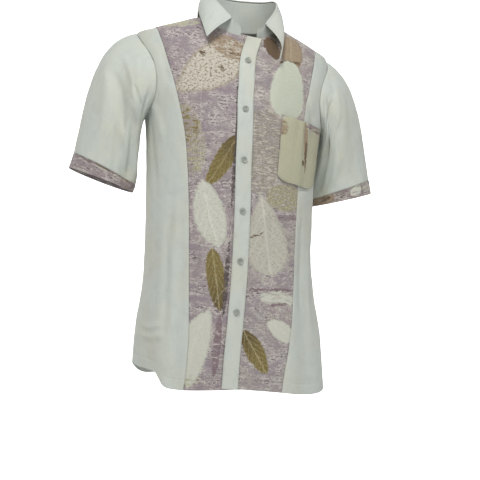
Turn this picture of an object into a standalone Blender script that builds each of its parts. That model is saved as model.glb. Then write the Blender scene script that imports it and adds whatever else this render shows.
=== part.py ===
"""Short-sleeve shirt in its worn, hollow form: open at neck, cuffs and hem.

Metres, +Z up, the front faces -Y, the wearer's right side is -X. The origin is the middle of
the neck where the shoulder seams meet the collar. Every cloth piece is a closed wall made on
one shared surface, with a narrow gap along each seam.
"""

import math

import bmesh
import bpy
from mathutils import Matrix, Vector

# Cloth
WALL = 0.0013
SEAM_GAP = 0.0003
CORNER_FULLNESS = 0.14
SHOULDER_TILT = 0.045
TILT_FROM_Z = -0.36
TILT_FULL_Z = -0.06

# Levels
RIDGE_Z = -0.033
ARMPIT_Z = -0.205
TIP_Z = -0.046
NECK_SIDE_X = 0.075
NECK_FRONT_Z = -0.036
NECK_BACK_Z = -0.008
HEM_BACK_Z = -0.694

# Armhole, in degrees from the side towards the front and the back
ARMHOLE_FRONT = 33.0
ARMHOLE_BACK = 29.0
ARMHOLE_POINT = 0.45

# Front band, pocket and buttons
PLACKET_WIDTH = 0.030
PLACKET_LIFT = 0.0024
UNDERLAP = 0.008
POCKET_LIFT = 0.0012
BUTTON_RADIUS = 0.0057
BUTTON_HEIGHT = 0.0021
BUTTON_HOLE = 0.0009

# Grid counts
ROWS_BODY = 10
ROWS_ARMHOLE = 12
COLUMNS_PRINT = 8
COLUMNS_SIDE = 5
COLUMNS_NECK_BACK = 6
COLUMNS_BACK = COLUMNS_NECK_BACK + 2 * COLUMNS_SIDE + COLUMNS_PRINT
COLUMNS_SLEEVE = 2 * ROWS_ARMHOLE
ROWS_SLEEVE = 11
CUFF_SHARE = 0.895

# Level, half width, front depth, back depth, shift along X, shift along Y
TORSO = (
    (0.012, 0.052, 0.022, 0.040, 0.000, 0.004),
    (0.000, 0.075, 0.040, 0.058, -0.001, 0.006),
    (-0.018, 0.121, 0.064, 0.072, -0.003, 0.015),
    (-0.033, 0.158, 0.088, 0.085, -0.005, 0.024),
    (-0.046, 0.186, 0.101, 0.093, -0.006, 0.030),
    (-0.075, 0.193, 0.114, 0.106, -0.005, 0.026),
    (-0.120, 0.190, 0.124, 0.116, -0.004, 0.018),
    (-0.205, 0.169, 0.128, 0.126, 0.001, 0.006),
    (-0.300, 0.162, 0.127, 0.122, 0.003, 0.002),
    (-0.430, 0.160, 0.126, 0.116, 0.007, 0.000),
    (-0.510, 0.164, 0.127, 0.122, 0.012, 0.000),
    (-0.600, 0.178, 0.129, 0.132, 0.018, 0.000),
    (-0.710, 0.187, 0.132, 0.138, 0.026, 0.000),
)

# Level, x of the wearer's right front seam, of the front edge and of the left front seam
FRONT_CUT = (
    (-0.033, -0.163, 0.018, 0.153),
    (-0.048, -0.160, 0.012, 0.1445),
    (-0.075, -0.152, 0.003, 0.1375),
    (-0.105, -0.1435, -0.001, 0.130),
    (-0.133, -0.134, -0.002, 0.125),
    (-0.165, -0.1246, -0.003, 0.119),
    (-0.197, -0.1157, -0.002, 0.1165),
    (-0.233, -0.1076, -0.001, 0.115),
    (-0.278, -0.101, 0.000, 0.1135),
    (-0.333, -0.095, 0.0025, 0.113),
    (-0.410, -0.089, 0.005, 0.114),
    (-0.480, -0.0846, 0.006, 0.1155),
    (-0.550, -0.080, 0.005, 0.115),
    (-0.610, -0.0775, 0.003, 0.1115),
    (-0.655, -0.078, 0.002, 0.1055),
    (-0.700, -0.0805, 0.002, 0.101),
)

# Share of the way from the front neck point to the side of the neck, x and level
NECK_FRONT = (
    (0.00, 0.018, -0.036),
    (0.30, 0.041, -0.030),
    (0.60, 0.061, -0.021),
    (0.85, 0.0735, -0.010),
    (1.00, 0.074, 0.000),
)

# Degrees from the front middle, hem level on the wearer's right and left
HEM = (
    (0.0, -0.6905, -0.6905),
    (20.0, -0.6955, -0.6925),
    (38.0, -0.6985, -0.6965),
    (45.0, -0.6975, -0.6975),
    (49.0, -0.6930, -0.6975),
    (52.5, -0.6800, -0.6970),
    (56.0, -0.6705, -0.6965),
    (66.0, -0.6675, -0.6920),
    (78.0, -0.6650, -0.6855),
    (90.0, -0.6625, -0.6790),
)

# Name, side, ring middle x, y and z, half width, half depth, tilt in degrees, top reach
SLEEVES = (
    ("right", -1, -0.2425, 0.028, -0.3235, 0.0640, 0.0540, 16.5, 0.300),
    ("left", 1, 0.2330, 0.030, -0.3245, 0.0625, 0.0530, 17.0, 0.238),
)

# Sleeve, height, half spread in degrees, angle and share at its start, at its end
SLEEVE_FOLDS = (
    ("right", -0.0085, 17.0, 48.0, 0.16, 138.0, 1.00),
    ("right", 0.0050, 14.0, 82.0, 0.20, 165.0, 0.90),
    ("right", -0.0050, 11.0, 112.0, 0.10, 140.0, 0.34),
    ("right", -0.0040, 18.0, 262.0, 0.20, 225.0, 0.95),
    ("left", -0.0060, 12.0, 88.0, 0.12, 138.0, 0.50),
    ("left", 0.0045, 14.0, 60.0, 0.20, 112.0, 0.80),
    ("left", -0.0070, 18.0, 120.0, 0.45, 150.0, 1.00),
    ("left", -0.0040, 18.0, 262.0, 0.20, 225.0, 0.95),
)

# Front side, height, half spread in degrees, degrees from the front middle and level at its
# start and at its end
TORSO_FOLDS = (
    (-1, 0.0030, 9.0, 62.0, -0.340, 52.0, -0.690),
    (-1, -0.0026, 7.0, 48.0, -0.360, 40.0, -0.690),
    (-1, -0.0030, 8.0, 74.0, -0.560, 60.0, -0.690),
    (1, 0.0030, 8.0, 34.0, -0.380, 30.0, -0.690),
    (1, -0.0035, 8.0, 58.0, -0.330, 44.0, -0.690),
    (1, 0.0035, 9.0, 78.0, -0.480, 66.0, -0.690),
    (1, -0.0030, 6.0, 55.0, -0.130, 50.0, -0.300),
)

# Name, foot x and z, fold x, y and z, lower edge x, y and z, from the wearer's right round the
# back to the left
COLLAR = (
    ("right_front", -0.034, -0.0335, -0.0285, -0.0690, -0.0085, -0.0785, -0.0900, -0.0510),
    ("right_turn", -0.064, -0.0190, -0.0570, -0.0340, 0.0270, -0.0840, -0.0470, -0.0150),
    ("right_side", -0.076, 0.0000, -0.0670, 0.0080, 0.0460, -0.0820, 0.0040, 0.0085),
    ("right_back", -0.050, -0.0040, -0.0480, 0.0530, 0.0510, -0.0630, 0.0700, 0.0050),
    ("back", 0.000, -0.0080, 0.0000, 0.0680, 0.0510, 0.0000, 0.0890, 0.0020),
    ("left_back", 0.050, -0.0040, 0.0480, 0.0530, 0.0520, 0.0630, 0.0710, 0.0050),
    ("left_side", 0.074, 0.0000, 0.0650, 0.0080, 0.0480, 0.0795, 0.0060, 0.0020),
    ("left_turn", 0.062, -0.0190, 0.0590, -0.0340, 0.0260, 0.0770, -0.0490, -0.0220),
    ("left_front", 0.038, -0.0325, 0.0330, -0.0700, -0.0120, 0.0590, -0.1010, -0.0780),
)
STAND_ENDS = (
    ("right_end", -0.010, -0.0385, -0.0110, -0.0660, -0.0170),
    ("left_end", 0.021, -0.0360, 0.0200, -0.0680, -0.0190),
)
LEAF_BOW = 0.013
FOLD_RISE = 0.0028
STAND_DROP = 0.0010
STAND_GAP = 0.0011
FOLD_REACH = 0.0046

# Corner, x and level of the chest pocket
POCKET = (
    ("top_inner", 0.0685, -0.1790),
    ("top_outer", 0.1590, -0.1930),
    ("bottom_outer", 0.1500, -0.3150),
    ("bottom_inner", 0.0655, -0.3020),
)
POCKET_COLUMNS = 8
POCKET_ROWS = 8
POCKET_PUFF = 0.0035

BUTTON_LEVELS = (-0.0864, -0.1778, -0.2705, -0.3645, -0.4558, -0.5492)

PLAIN_COLOUR = (0.560, 0.540, 0.485, 1.0)
PRINT_COLOUR = (0.350, 0.285, 0.290, 1.0)
BUTTON_COLOUR = (0.330, 0.320, 0.280, 1.0)


def smooth(low, high, value):
    """Share from 0 at low to 1 at high with soft ends."""
    share = min(1.0, max(0.0, (value - low) / (high - low)))
    return share * share * (3.0 - 2.0 * share)


def look_up(rows, key):
    """Row of a table at a key in its first column, along a soft curve through the rows."""
    rows = sorted(rows)
    key = min(max(key, rows[0][0]), rows[-1][0])
    index = 0
    while index < len(rows) - 2 and key > rows[index + 1][0]:
        index += 1
    low, high = rows[index], rows[index + 1]
    before = rows[index - 1] if index else low
    after = rows[index + 2] if index + 2 < len(rows) else high
    span = high[0] - low[0]
    t = (key - low[0]) / span
    found = []
    for column in range(1, len(low)):
        rise = high[column] - low[column]
        start = rise / span
        end = rise / span
        if before is not low:
            start = slope_at(before, low, high, column)
        if after is not high:
            end = slope_at(low, high, after, column)
        found.append(
            low[column]
            + rise * t * t * (3.0 - 2.0 * t)
            + span * (start * t * (1.0 - t) ** 2 - end * t * t * (1.0 - t))
        )
    return found


def slope_at(before, here, after, column):
    """Slope of a column at a row that never runs past the rows beside it."""
    one = (here[column] - before[column]) / (here[0] - before[0])
    two = (after[column] - here[column]) / (after[0] - here[0])
    if one * two <= 0.0:
        return 0.0
    return 2.0 * one * two / (one + two)


def settle(point):
    """Point with the slope of the two shoulders taken in."""
    share = smooth(TILT_FROM_Z, TILT_FULL_Z, point.z)
    return point + Vector((0.0, 0.0, -SHOULDER_TILT * point.x * share))


def torso(degrees, level):
    """Body surface: 0 degrees is the front, 90 the wearer's left side, -90 the right side."""
    half, front, back, shift_x, shift_y = look_up(TORSO, level)
    angle = math.radians(degrees)
    across, along = math.sin(angle), math.cos(angle)
    depth = front if along > 0.0 else back
    full = 1.0 + CORNER_FULLNESS * across * across
    point = Vector((shift_x + half * across, shift_y - depth * along * full, level))
    outward = Vector((across / half, -along / depth, 0.0)).normalized()
    return point + outward * torso_fold(degrees, level)


def torso_fold(degrees, level):
    """Height of the soft folds of the body at an angle and a level."""
    total = 0.0
    for side, height, spread, start, start_z, end, end_z in TORSO_FOLDS:
        share = (level - start_z) / (end_z - start_z)
        if share < -0.2 or share > 1.1:
            continue
        middle = side * (start + (end - start) * min(1.0, max(0.0, share)))
        weight = smooth(-0.2, 0.35, share)
        total += height * weight * math.exp(-(((degrees - middle) / spread) ** 2))
    return total


def angle_at(x, level):
    """Degrees of the front surface at an x and a level."""
    half, _front, _back, shift_x, _shift_y = look_up(TORSO, level)
    return math.degrees(math.asin(min(1.0, max(-1.0, (x - shift_x) / half))))


def on_torso(point):
    """Point drawn onto the body surface at its own level and direction."""
    half, front, back, shift_x, shift_y = look_up(TORSO, point.z)
    across = (point.x - shift_x) / half
    depth = front if point.y < shift_y else back
    degrees = math.degrees(math.atan2(across, -(point.y - shift_y) / depth))
    return torso(unfull(degrees), point.z)


def torso_out(point):
    """Outward direction of the settled body surface at a point before it is settled."""
    half, front, back, shift_x, shift_y = look_up(TORSO, point.z)
    across = (point.x - shift_x) / half
    depth = front if point.y < shift_y else back
    degrees = unfull(math.degrees(math.atan2(across, -(point.y - shift_y) / depth)))
    around = settle(torso(degrees + 0.6, point.z)) - settle(torso(degrees - 0.6, point.z))
    along = settle(torso(degrees, point.z + 0.0008)) - settle(torso(degrees, point.z - 0.0008))
    return around.cross(along).normalized()


def unfull(degrees):
    """Angle whose full corner lies in the given direction."""
    found = degrees
    for _step in range(6):
        angle = math.radians(found)
        full = 1.0 + CORNER_FULLNESS * math.sin(angle) ** 2
        found = math.degrees(
            math.atan2(math.sin(math.radians(degrees)) * full, math.cos(math.radians(degrees)))
        )
    return found


def hem_level(degrees):
    """Hem level at an angle round the body."""
    right, left = look_up(HEM, min(abs(degrees), 90.0))
    level = right if degrees < 0.0 else left
    if abs(degrees) <= 90.0:
        return level
    return level + (HEM_BACK_Z - level) * smooth(90.0, 132.0, abs(degrees))


def armhole(side, turn):
    """Armhole point: a turn of 0 is the shoulder tip, 90 the front, 180 the armpit."""
    turn = (turn + 180.0) % 360.0 - 180.0
    angle = math.radians(turn)
    even = 1.0 - abs(turn) / 90.0
    level = 0.5 * (TIP_Z + ARMPIT_Z)
    level += 0.5 * (TIP_Z - ARMPIT_Z) * (
        math.cos(angle) * (1.0 - ARMHOLE_POINT) + even * ARMHOLE_POINT
    )
    reach = ARMHOLE_FRONT if math.sin(angle) > 0.0 else ARMHOLE_BACK
    return torso(side * (90.0 - reach * math.sin(angle)), level)


def front_line(column, share, top):
    """Point of a front cut line, from the hem at 0 past the armpit level to its top at 1."""
    hem = -0.69
    for _step in range(8):
        hem = hem_level(angle_at(look_up(FRONT_CUT, hem)[column], hem))
    turn = ROWS_BODY / (ROWS_BODY + ROWS_ARMHOLE)
    if share <= turn:
        level = hem + (ARMPIT_Z - hem) * share / turn
    else:
        level = ARMPIT_Z + (top - ARMPIT_Z) * (share - turn) / (1.0 - turn)
    return torso(angle_at(look_up(FRONT_CUT, level)[column], level), level)


def front_edge(shift, top):
    """Front edge line moved sideways by a shift, as a function of the share."""
    turn = ROWS_BODY / (ROWS_BODY + ROWS_ARMHOLE)

    def line(share):
        hem = hem_level(4.0)
        if share <= turn:
            level = hem + (ARMPIT_Z - hem) * share / turn
        else:
            level = ARMPIT_Z + (top - ARMPIT_Z) * (share - turn) / (1.0 - turn)
        x = look_up(FRONT_CUT, level)[1] + shift
        return torso(angle_at(x, level), level)

    return line


def outer_line(side, back):
    """Side seam from the hem, then the armhole to the shoulder tip."""
    turn = ROWS_BODY / (ROWS_BODY + ROWS_ARMHOLE)

    def line(share):
        if share <= turn:
            hem = hem_level(side * 90.0)
            return torso(side * 90.0, hem + (ARMPIT_Z - hem) * share / turn)
        around = 180.0 * (1.0 - (share - turn) / (1.0 - turn))
        return armhole(side, -around if back else around)

    return line


def shoulder(side, x_from, x_to, share):
    """Point of the shoulder seam between two half widths."""
    wanted = x_from + (x_to - x_from) * share
    low, high = TIP_Z, 0.004
    for _step in range(30):
        level = 0.5 * (low + high)
        if look_up(TORSO, level)[0] > wanted:
            low = level
        else:
            high = level
    return torso(side * 90.0, level)


def seam_half_width(side):
    """Half width of the shoulder seam where the print panel ends."""
    row = FRONT_CUT[0]
    shift_x = look_up(TORSO, RIDGE_Z)[3]
    return abs((row[1] if side < 0 else row[3]) - shift_x)


def neck_front(side, share):
    """Front neckline from its front end at 0 to the side of the neck at 1."""
    x, level = look_up(NECK_FRONT, share)
    x *= side
    if share > 0.999:
        return torso(side * 90.0, 0.0)
    return torso(angle_at(x, level), level)


def neck_back(share):
    """Back neckline from the wearer's right side at 0 to the left side at 1."""
    turn = 1.0 - abs(2.0 * share - 1.0)
    level = NECK_BACK_Z * smooth(0.0, 1.0, turn)
    return torso(-90.0 - 180.0 * share, level)


def coons(left, right, bottom, top):
    """Patch between four edge lines, each a function of a share, drawn onto the body."""
    corners = (bottom(0.0), bottom(1.0), top(0.0), top(1.0))

    def place(u, v):
        ruled_u = left(v) * (1.0 - u) + right(v) * u
        ruled_v = bottom(u) * (1.0 - v) + top(u) * v
        low = corners[0] * (1.0 - u) + corners[1] * u
        high = corners[2] * (1.0 - u) + corners[3] * u
        return ruled_u + ruled_v - low * (1.0 - v) - high * v

    def patch(u, v):
        return settle(on_torso(place(u, v)))

    def outward(u, v):
        return torso_out(place(u, v))

    return patch, outward


def hem_line(start, end):
    """Hem between two angles as a function of the share."""

    def line(share):
        degrees = start + (end - start) * share
        return torso(degrees, hem_level(degrees))

    return line


def print_panel(side):
    """Front panel between the front edge and the front seam."""
    shift = UNDERLAP if side < 0 else UNDERLAP + 0.002
    column = 0 if side < 0 else 2
    edge = front_edge(shift, NECK_FRONT_Z)
    width = seam_half_width(side)

    def seam(share):
        if share > 0.999:
            return shoulder(side, width, width, 0.0)
        return front_line(column, share, RIDGE_Z)

    def top(share):
        if share < 0.5:
            start = edge(1.0)
            point = neck_front(side, share * 2.0)
            return point + (start - neck_front(side, 0.0)) * max(0.0, 1.0 - share * 6.0)
        return shoulder(side, NECK_SIDE_X, width, share * 2.0 - 1.0)

    low = edge(0.0)
    high = seam(0.0)
    start = math.degrees(math.atan2((low.x - 0.024) / 0.185, 1.0))
    line = hem_line(start, angle_at(high.x, high.z))

    def bottom(share):
        return line(share) + (low - line(0.0)) * (1.0 - share) + (high - line(1.0)) * share

    return coons(edge, seam, bottom, top)


def side_panel(side):
    """Front side panel between the front seam, the side seam and the armhole."""
    column = 0 if side < 0 else 2
    width = seam_half_width(side)
    tip = look_up(TORSO, TIP_Z)[0]

    def seam(share):
        if share > 0.999:
            return shoulder(side, width, width, 0.0)
        return front_line(column, share, RIDGE_Z)

    low = seam(0.0)
    line = hem_line(angle_at(low.x, low.z), side * 90.0)
    outer = outer_line(side, False)

    def bottom(share):
        return line(share) + (low - line(0.0)) * (1.0 - share) + (outer(0.0) - line(1.0)) * share

    def top(share):
        return shoulder(side, width, tip, share)

    return coons(seam, outer, bottom, top)


def back_panel():
    """Whole back from the wearer's right side seam to the left one."""
    tip = look_up(TORSO, TIP_Z)[0]
    seam_at = COLUMNS_SIDE / COLUMNS_BACK
    neck_at = (COLUMNS_SIDE + COLUMNS_PRINT // 2) / COLUMNS_BACK

    def top(share):
        side = -1 if share < 0.5 else 1
        near = min(share, 1.0 - share)
        width = seam_half_width(side)
        if near < seam_at:
            return shoulder(side, tip, width, near / seam_at)
        if near < neck_at:
            return shoulder(side, width, NECK_SIDE_X, (near - seam_at) / (neck_at - seam_at))
        return neck_back((share - neck_at) / (1.0 - 2.0 * neck_at))

    return coons(outer_line(-1, True), outer_line(1, True), hem_line(-90.0, -270.0), top)


def placket():
    """Front band over both front edges, its free edge lifted at the open neck."""
    half = 0.5 * PLACKET_WIDTH
    rows = ROWS_BODY + ROWS_ARMHOLE
    turn = ROWS_BODY / rows

    def patch(u, v):
        hem = hem_level(4.0) + 0.0006
        top = NECK_FRONT_Z - 0.0005
        if v <= turn:
            level = hem + (ARMPIT_Z - hem) * v / turn
        else:
            level = ARMPIT_Z + (top - ARMPIT_Z) * (v - turn) / (1.0 - turn)
        middle = look_up(FRONT_CUT, level)[1]
        here = angle_at(middle + PLACKET_WIDTH * (u - 0.5), level)
        point = torso(here, level)
        curl = smooth(-0.085, -0.035, level) * (1.0 - u) ** 2
        free = smooth(half * 2.4, half * 0.4, half * 2.0 * u)
        lift = PLACKET_LIFT + 0.0008 * free + 0.006 * curl
        return settle(point + Vector((0.0, -lift, 0.0)))

    return patch


def pocket():
    """Chest pocket laid over the front seam, a little full in the middle."""
    inner_top, outer_top, outer_low, inner_low = (Vector((row[1], row[2])) for row in POCKET)

    def patch(u, v):
        low = inner_low.lerp(outer_low, u)
        high = inner_top.lerp(outer_top, u)
        flat = low.lerp(high, v)
        round_off = 0.010 * (abs(2.0 * u - 1.0) ** 6) * (1.0 - smooth(0.0, 0.2, v))
        level = flat.y + round_off
        degrees = angle_at(flat.x, level)
        point = torso(degrees, level)
        step = torso(degrees + 0.5, level) - torso(degrees - 0.5, level)
        outward = Vector((step.y, -step.x, 0.0)).normalized()
        full = POCKET_PUFF * math.sin(math.pi * u) * (0.35 + 0.65 * v)
        crease = 0.003 * math.exp(-(((u - 0.62 + 0.08 * v) / 0.05) ** 2)) * smooth(0.1, 0.6, v)
        return settle(point + outward * (WALL + POCKET_LIFT + full - crease))

    return patch


def sleeve(row, start, end, lift):
    """Sleeve tube between two shares of its length, from the armhole to the cuff edge."""
    name, side, ring_x, ring_y, ring_z, half, depth, tilt, reach = row
    slope = math.radians(tilt)
    middle = Vector((ring_x, ring_y, ring_z))
    outer = Vector((side * math.cos(slope), 0.0, math.sin(slope)))
    down = Vector((side * math.sin(slope), 0.0, -math.cos(slope)))

    def plain(turn, share):
        angle = math.radians(turn)
        over, fore = math.cos(angle), math.sin(angle)
        first = armhole(side, turn)
        last = middle + outer * (half * over) + Vector((0.0, -depth * fore, 0.0))
        leave = Vector((side, -0.12 * fore, -(0.46 - 0.20 * over))).normalized()
        pull = 0.5 * (reach + 0.060) + 0.5 * (reach - 0.060) * over
        push = 0.190 + 0.060 * over
        t = share
        point = first * (1.0 + 2.0 * t) * (1.0 - t) ** 2
        point += last * t * t * (3.0 - 2.0 * t)
        point += leave * (pull * t * (1.0 - t) ** 2)
        point -= down * (push * t * t * (1.0 - t))
        return point

    def patch(u, v):
        turn = 360.0 * u
        share = start + (end - start) * v
        point = plain(turn, share)
        along = plain(turn, min(1.0, share + 0.01)) - plain(turn, max(0.0, share - 0.01))
        around = plain(turn + 1.0, share) - plain(turn - 1.0, share)
        outward = around.cross(along).normalized() * side
        height = lift + sleeve_fold(name, turn, share)
        return settle(point + outward * height)

    return patch


def sleeve_fold(name, turn, share):
    """Height of the sleeve folds at a turn and a share of the length."""
    total = 0.0
    for sleeve_name, height, spread, turn_a, share_a, turn_b, share_b in SLEEVE_FOLDS:
        if sleeve_name != name:
            continue
        along = (share - share_a) / (share_b - share_a)
        middle = turn_a + (turn_b - turn_a) * min(1.0, max(0.0, along))
        fade = 0.7 if share_b >= 0.99 else 1.0
        weight = smooth(-0.25, 0.3, along) * (1.0 - fade * smooth(0.75, 1.2, along))
        weight *= smooth(0.0, 0.12, share)
        total += height * weight * math.exp(-(((turn % 360.0) - middle) / spread) ** 2)
    return total


def collar_rows():
    """Foot, fold and lower edge of the collar at each station, as points."""
    found = []
    for _name, foot_x, foot_z, fx, fy, fz, ex, ey, ez in COLLAR:
        found.append((neck_point(foot_x, foot_z, ey), Vector((fx, fy, fz)), Vector((ex, ey, ez))))
    return found


def neck_point(x, level, y):
    """Point of the body surface at an x and a level, in front or behind."""
    degrees = angle_at(x, level)
    if y > 0.03:
        degrees = 180.0 - degrees
    return torso(degrees, level)


def through(points, share):
    """Point on the soft line through evenly counted points."""
    place = share * (len(points) - 1)
    index = min(int(place), len(points) - 2)
    t = place - index
    here, there = points[index], points[index + 1]
    before = points[index - 1] if index else here * 2.0 - there
    after = points[index + 2] if index + 2 < len(points) else there * 2.0 - here
    start = (there - before) * 0.5
    end = (after - here) * 0.5
    return (
        here * (1.0 + 2.0 * t) * (1.0 - t) ** 2
        + there * t * t * (3.0 - 2.0 * t)
        + start * (t * (1.0 - t) ** 2)
        - end * (t * t * (1.0 - t))
    )


def collar_stand():
    """Band that stands on the neckline, open at the front."""
    rows = collar_rows()
    ends = []
    for _name, foot_x, foot_z, top_x, top_y, top_z in STAND_ENDS:
        ends.append((neck_point(foot_x, foot_z, -1.0), Vector((top_x, top_y, top_z))))
    feet = [ends[0][0]] + [row[0] for row in rows] + [ends[1][0]]
    tops = [ends[0][1]] + [row[1] for row in rows] + [ends[1][1]]
    drop = Vector((0.0, 0.0, STAND_DROP))

    def patch(u, v):
        foot = through(feet, u)
        top = through(tops, u)
        top = top - drop + Vector((top.x, top.y - 0.004, 0.0)).normalized() * WALL
        foot = foot + (top - foot).normalized() * STAND_GAP
        ends_low = 0.004 * (abs(2.0 * u - 1.0) ** 18) * v
        return settle(foot.lerp(top, v) - Vector((0.0, 0.0, ends_low)))

    return patch


def collar_fall():
    """Outer collar from the fold over the band down to its points."""
    rows = collar_rows()
    folds = [row[1] for row in rows]
    edges = [row[2] for row in rows]

    def patch(u, v):
        fold = through(folds, u)
        edge = through(edges, u)
        ahead = through(folds, min(1.0, u + 0.01)) - through(folds, max(0.0, u - 0.01))
        outward = Vector((0.0, 0.0, 1.0)).cross(ahead).normalized()
        if v < 0.30:
            turn = math.pi * v / 0.30
            over = FOLD_REACH * 0.5 * (1.0 - math.cos(turn))
            up = FOLD_RISE * math.sin(turn)
            return settle(fold + outward * over + Vector((0.0, 0.0, up + 0.0004)))
        share = (v - 0.30) / 0.70
        start = fold + outward * FOLD_REACH + Vector((0.0, 0.0, 0.0004))
        bulge = 0.0035 * math.sin(math.pi * share)
        bow = LEAF_BOW * smooth(0.84, 1.0, u) * math.sin(math.pi * share)
        return settle(start.lerp(edge, share) + outward * bulge + Vector((bow, 0.0, 0.0)))

    return patch


def wall(name, patch, columns, rows, gaps, material, tube=False, facing=1.0):
    """Closed cloth wall on a patch: gaps name the edges held back from a seam.

    A patch of the body brings its own outward direction; the others face by their sign.
    """
    outward = None
    if isinstance(patch, tuple):
        patch, outward = patch
    mesh = bmesh.new()
    bmesh.ops.create_grid(mesh, x_segments=columns, y_segments=rows, size=0.5)
    cut = mesh.verts.layers.float_vector.new("cut")
    for vert in mesh.verts:
        u, v = vert.co.x + 0.5, vert.co.y + 0.5
        vert[cut] = (u, v, 0.0)
        vert.co = patch(u, v) + held_back(patch, u, v, columns, rows, gaps, tube)
    if tube:
        bmesh.ops.remove_doubles(mesh, verts=mesh.verts, dist=1e-6)
    outer = list(mesh.faces)
    made = bmesh.ops.extrude_face_region(mesh, geom=outer, use_keep_orig=True)
    for item in made["geom"]:
        if isinstance(item, bmesh.types.BMVert):
            u, v, _spare = item[cut]
            if outward:
                item.co = item.co - outward(u, v) * WALL
            else:
                item.co = item.co - normal_at(patch, u, v, tube) * (WALL * facing)
    return finish(name, mesh, material, math.radians(50.0))


def held_back(patch, u, v, columns, rows, gaps, tube):
    """Move of an edge point square to its seam, by half the seam gap."""
    keep = 0.5 * SEAM_GAP + 0.00004
    wide, tall = 1.0 / columns, 1.0 / rows
    moved = Vector((0.0, 0.0, 0.0))
    for gap, here, inner in (
        ("left", u < 1e-6, (u + wide, v)),
        ("right", u > 1.0 - 1e-6, (u - wide, v)),
        ("bottom", v < 1e-6, (u, v + tall)),
        ("top", v > 1.0 - 1e-6, (u, v - tall)),
    ):
        if gap not in gaps or not here:
            continue
        inward = patch(*inner) - patch(u, v)
        if gap in ("left", "right"):
            along = patch(u, min(1.0, v + tall)) - patch(u, max(0.0, v - tall))
        elif tube:
            along = patch(u + wide, v) - patch(u - wide, v)
        else:
            along = patch(min(1.0, u + wide), v) - patch(max(0.0, u - wide), v)
        along.normalize()
        across = inward - along * inward.dot(along)
        if across.length > 0.15 * inward.length:
            moved += across.normalized() * keep
        else:
            moved += Vector((0.0, 0.0, -keep))
    return moved


def normal_at(patch, u, v, tube):
    """Outward direction of a patch at two shares."""
    step = 0.004
    if tube:
        across = patch(u + step, v) - patch(u - step, v)
    else:
        across = patch(min(1.0, u + step), v) - patch(max(0.0, u - step), v)
    along = patch(u, min(1.0, v + step)) - patch(u, max(0.0, v - step))
    return across.cross(along).normalized()


def finish(name, mesh, material, crease):
    """Object made from a mesh, with round faces smooth and sharp rims kept."""
    bmesh.ops.recalc_face_normals(mesh, faces=mesh.faces)
    for face in mesh.faces:
        face.smooth = True
    for edge in mesh.edges:
        edge.smooth = edge.calc_face_angle(0.0) < crease
    data = bpy.data.meshes.new(name)
    mesh.to_mesh(data)
    mesh.free()
    data.materials.append(material)
    made = bpy.data.objects.new(name, data)
    SHIRT.objects.link(made)
    return made


def button(number, level, material):
    """Round button with a raised rim and four holes, on the band."""
    centre_x = look_up(FRONT_CUT, level)[1]
    base = settle(torso(angle_at(centre_x, level), level))
    lean = settle(torso(angle_at(centre_x, level + 0.01), level + 0.01)) - base
    up = lean.normalized()
    out = Vector((1.0, 0.0, 0.0)).cross(up).normalized()
    side = up.cross(out).normalized()
    start = base + out * (PLACKET_LIFT + 0.0010)
    disc = disc_mesh(
        (
            (0.80 * BUTTON_RADIUS, 0.0),
            (BUTTON_RADIUS, 0.55 * BUTTON_HEIGHT),
            (0.88 * BUTTON_RADIUS, BUTTON_HEIGHT),
            (0.60 * BUTTON_RADIUS, 0.70 * BUTTON_HEIGHT),
        ),
        18,
    )
    made = finish(f"button_{number}", disc, material, math.radians(40.0))
    for column in (-1, 1):
        for row in (-1, 1):
            hole = disc_mesh(((BUTTON_HOLE, -0.002), (BUTTON_HOLE, 0.006)), 6)
            cutter = finish(f"button_{number}_hole_{column}_{row}", hole, material, 0.5)
            cutter.location = (column * 0.0013, row * 0.0013, 0.0)
            cutter.hide_render = True
            cutter.display_type = "WIRE"
            cut = made.modifiers.new("hole", "BOOLEAN")
            cut.operation = "DIFFERENCE"
            cut.solver = "EXACT"
            cut.object = cutter
            cutter.parent = made
    made.matrix_world = placed(start, side, up, out)
    return made


def placed(start, side, up, out):
    """Matrix that sets local X, Y and Z along three directions at a start."""
    frame = Matrix.Identity(4)
    for index, axis in enumerate((side, up, out)):
        for row in range(3):
            frame[row][index] = axis[row]
    for row in range(3):
        frame[row][3] = start[row]
    return frame


def disc_mesh(profile, count):
    """Closed round solid from a short profile of radius and height."""
    mesh = bmesh.new()
    rings = []
    for radius, height in profile:
        made = bmesh.ops.create_circle(mesh, segments=count, radius=radius)
        bmesh.ops.translate(mesh, verts=made["verts"], vec=(0.0, 0.0, height))
        rings.append([edge for edge in mesh.edges if edge.verts[0] in set(made["verts"])])
    for low, high in zip(rings, rings[1:]):
        bmesh.ops.bridge_loops(mesh, edges=low + high)
    bmesh.ops.holes_fill(mesh, edges=[edge for edge in mesh.edges if edge.is_boundary], sides=0)
    return mesh


def cloth_material(name, colour, roughness):
    """Material with its own colour and roughness."""
    made = bpy.data.materials.new(name)
    made.use_nodes = True
    shader = made.node_tree.nodes["Principled BSDF"]
    shader.inputs["Base Color"].default_value = colour
    shader.inputs["Roughness"].default_value = roughness
    shader.inputs["Metallic"].default_value = 0.0
    return made


for leftover in list(bpy.data.objects):
    bpy.data.objects.remove(leftover, do_unlink=True)

SHIRT = bpy.data.collections.new("short_sleeve_shirt")
bpy.context.scene.collection.children.link(SHIRT)


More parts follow.
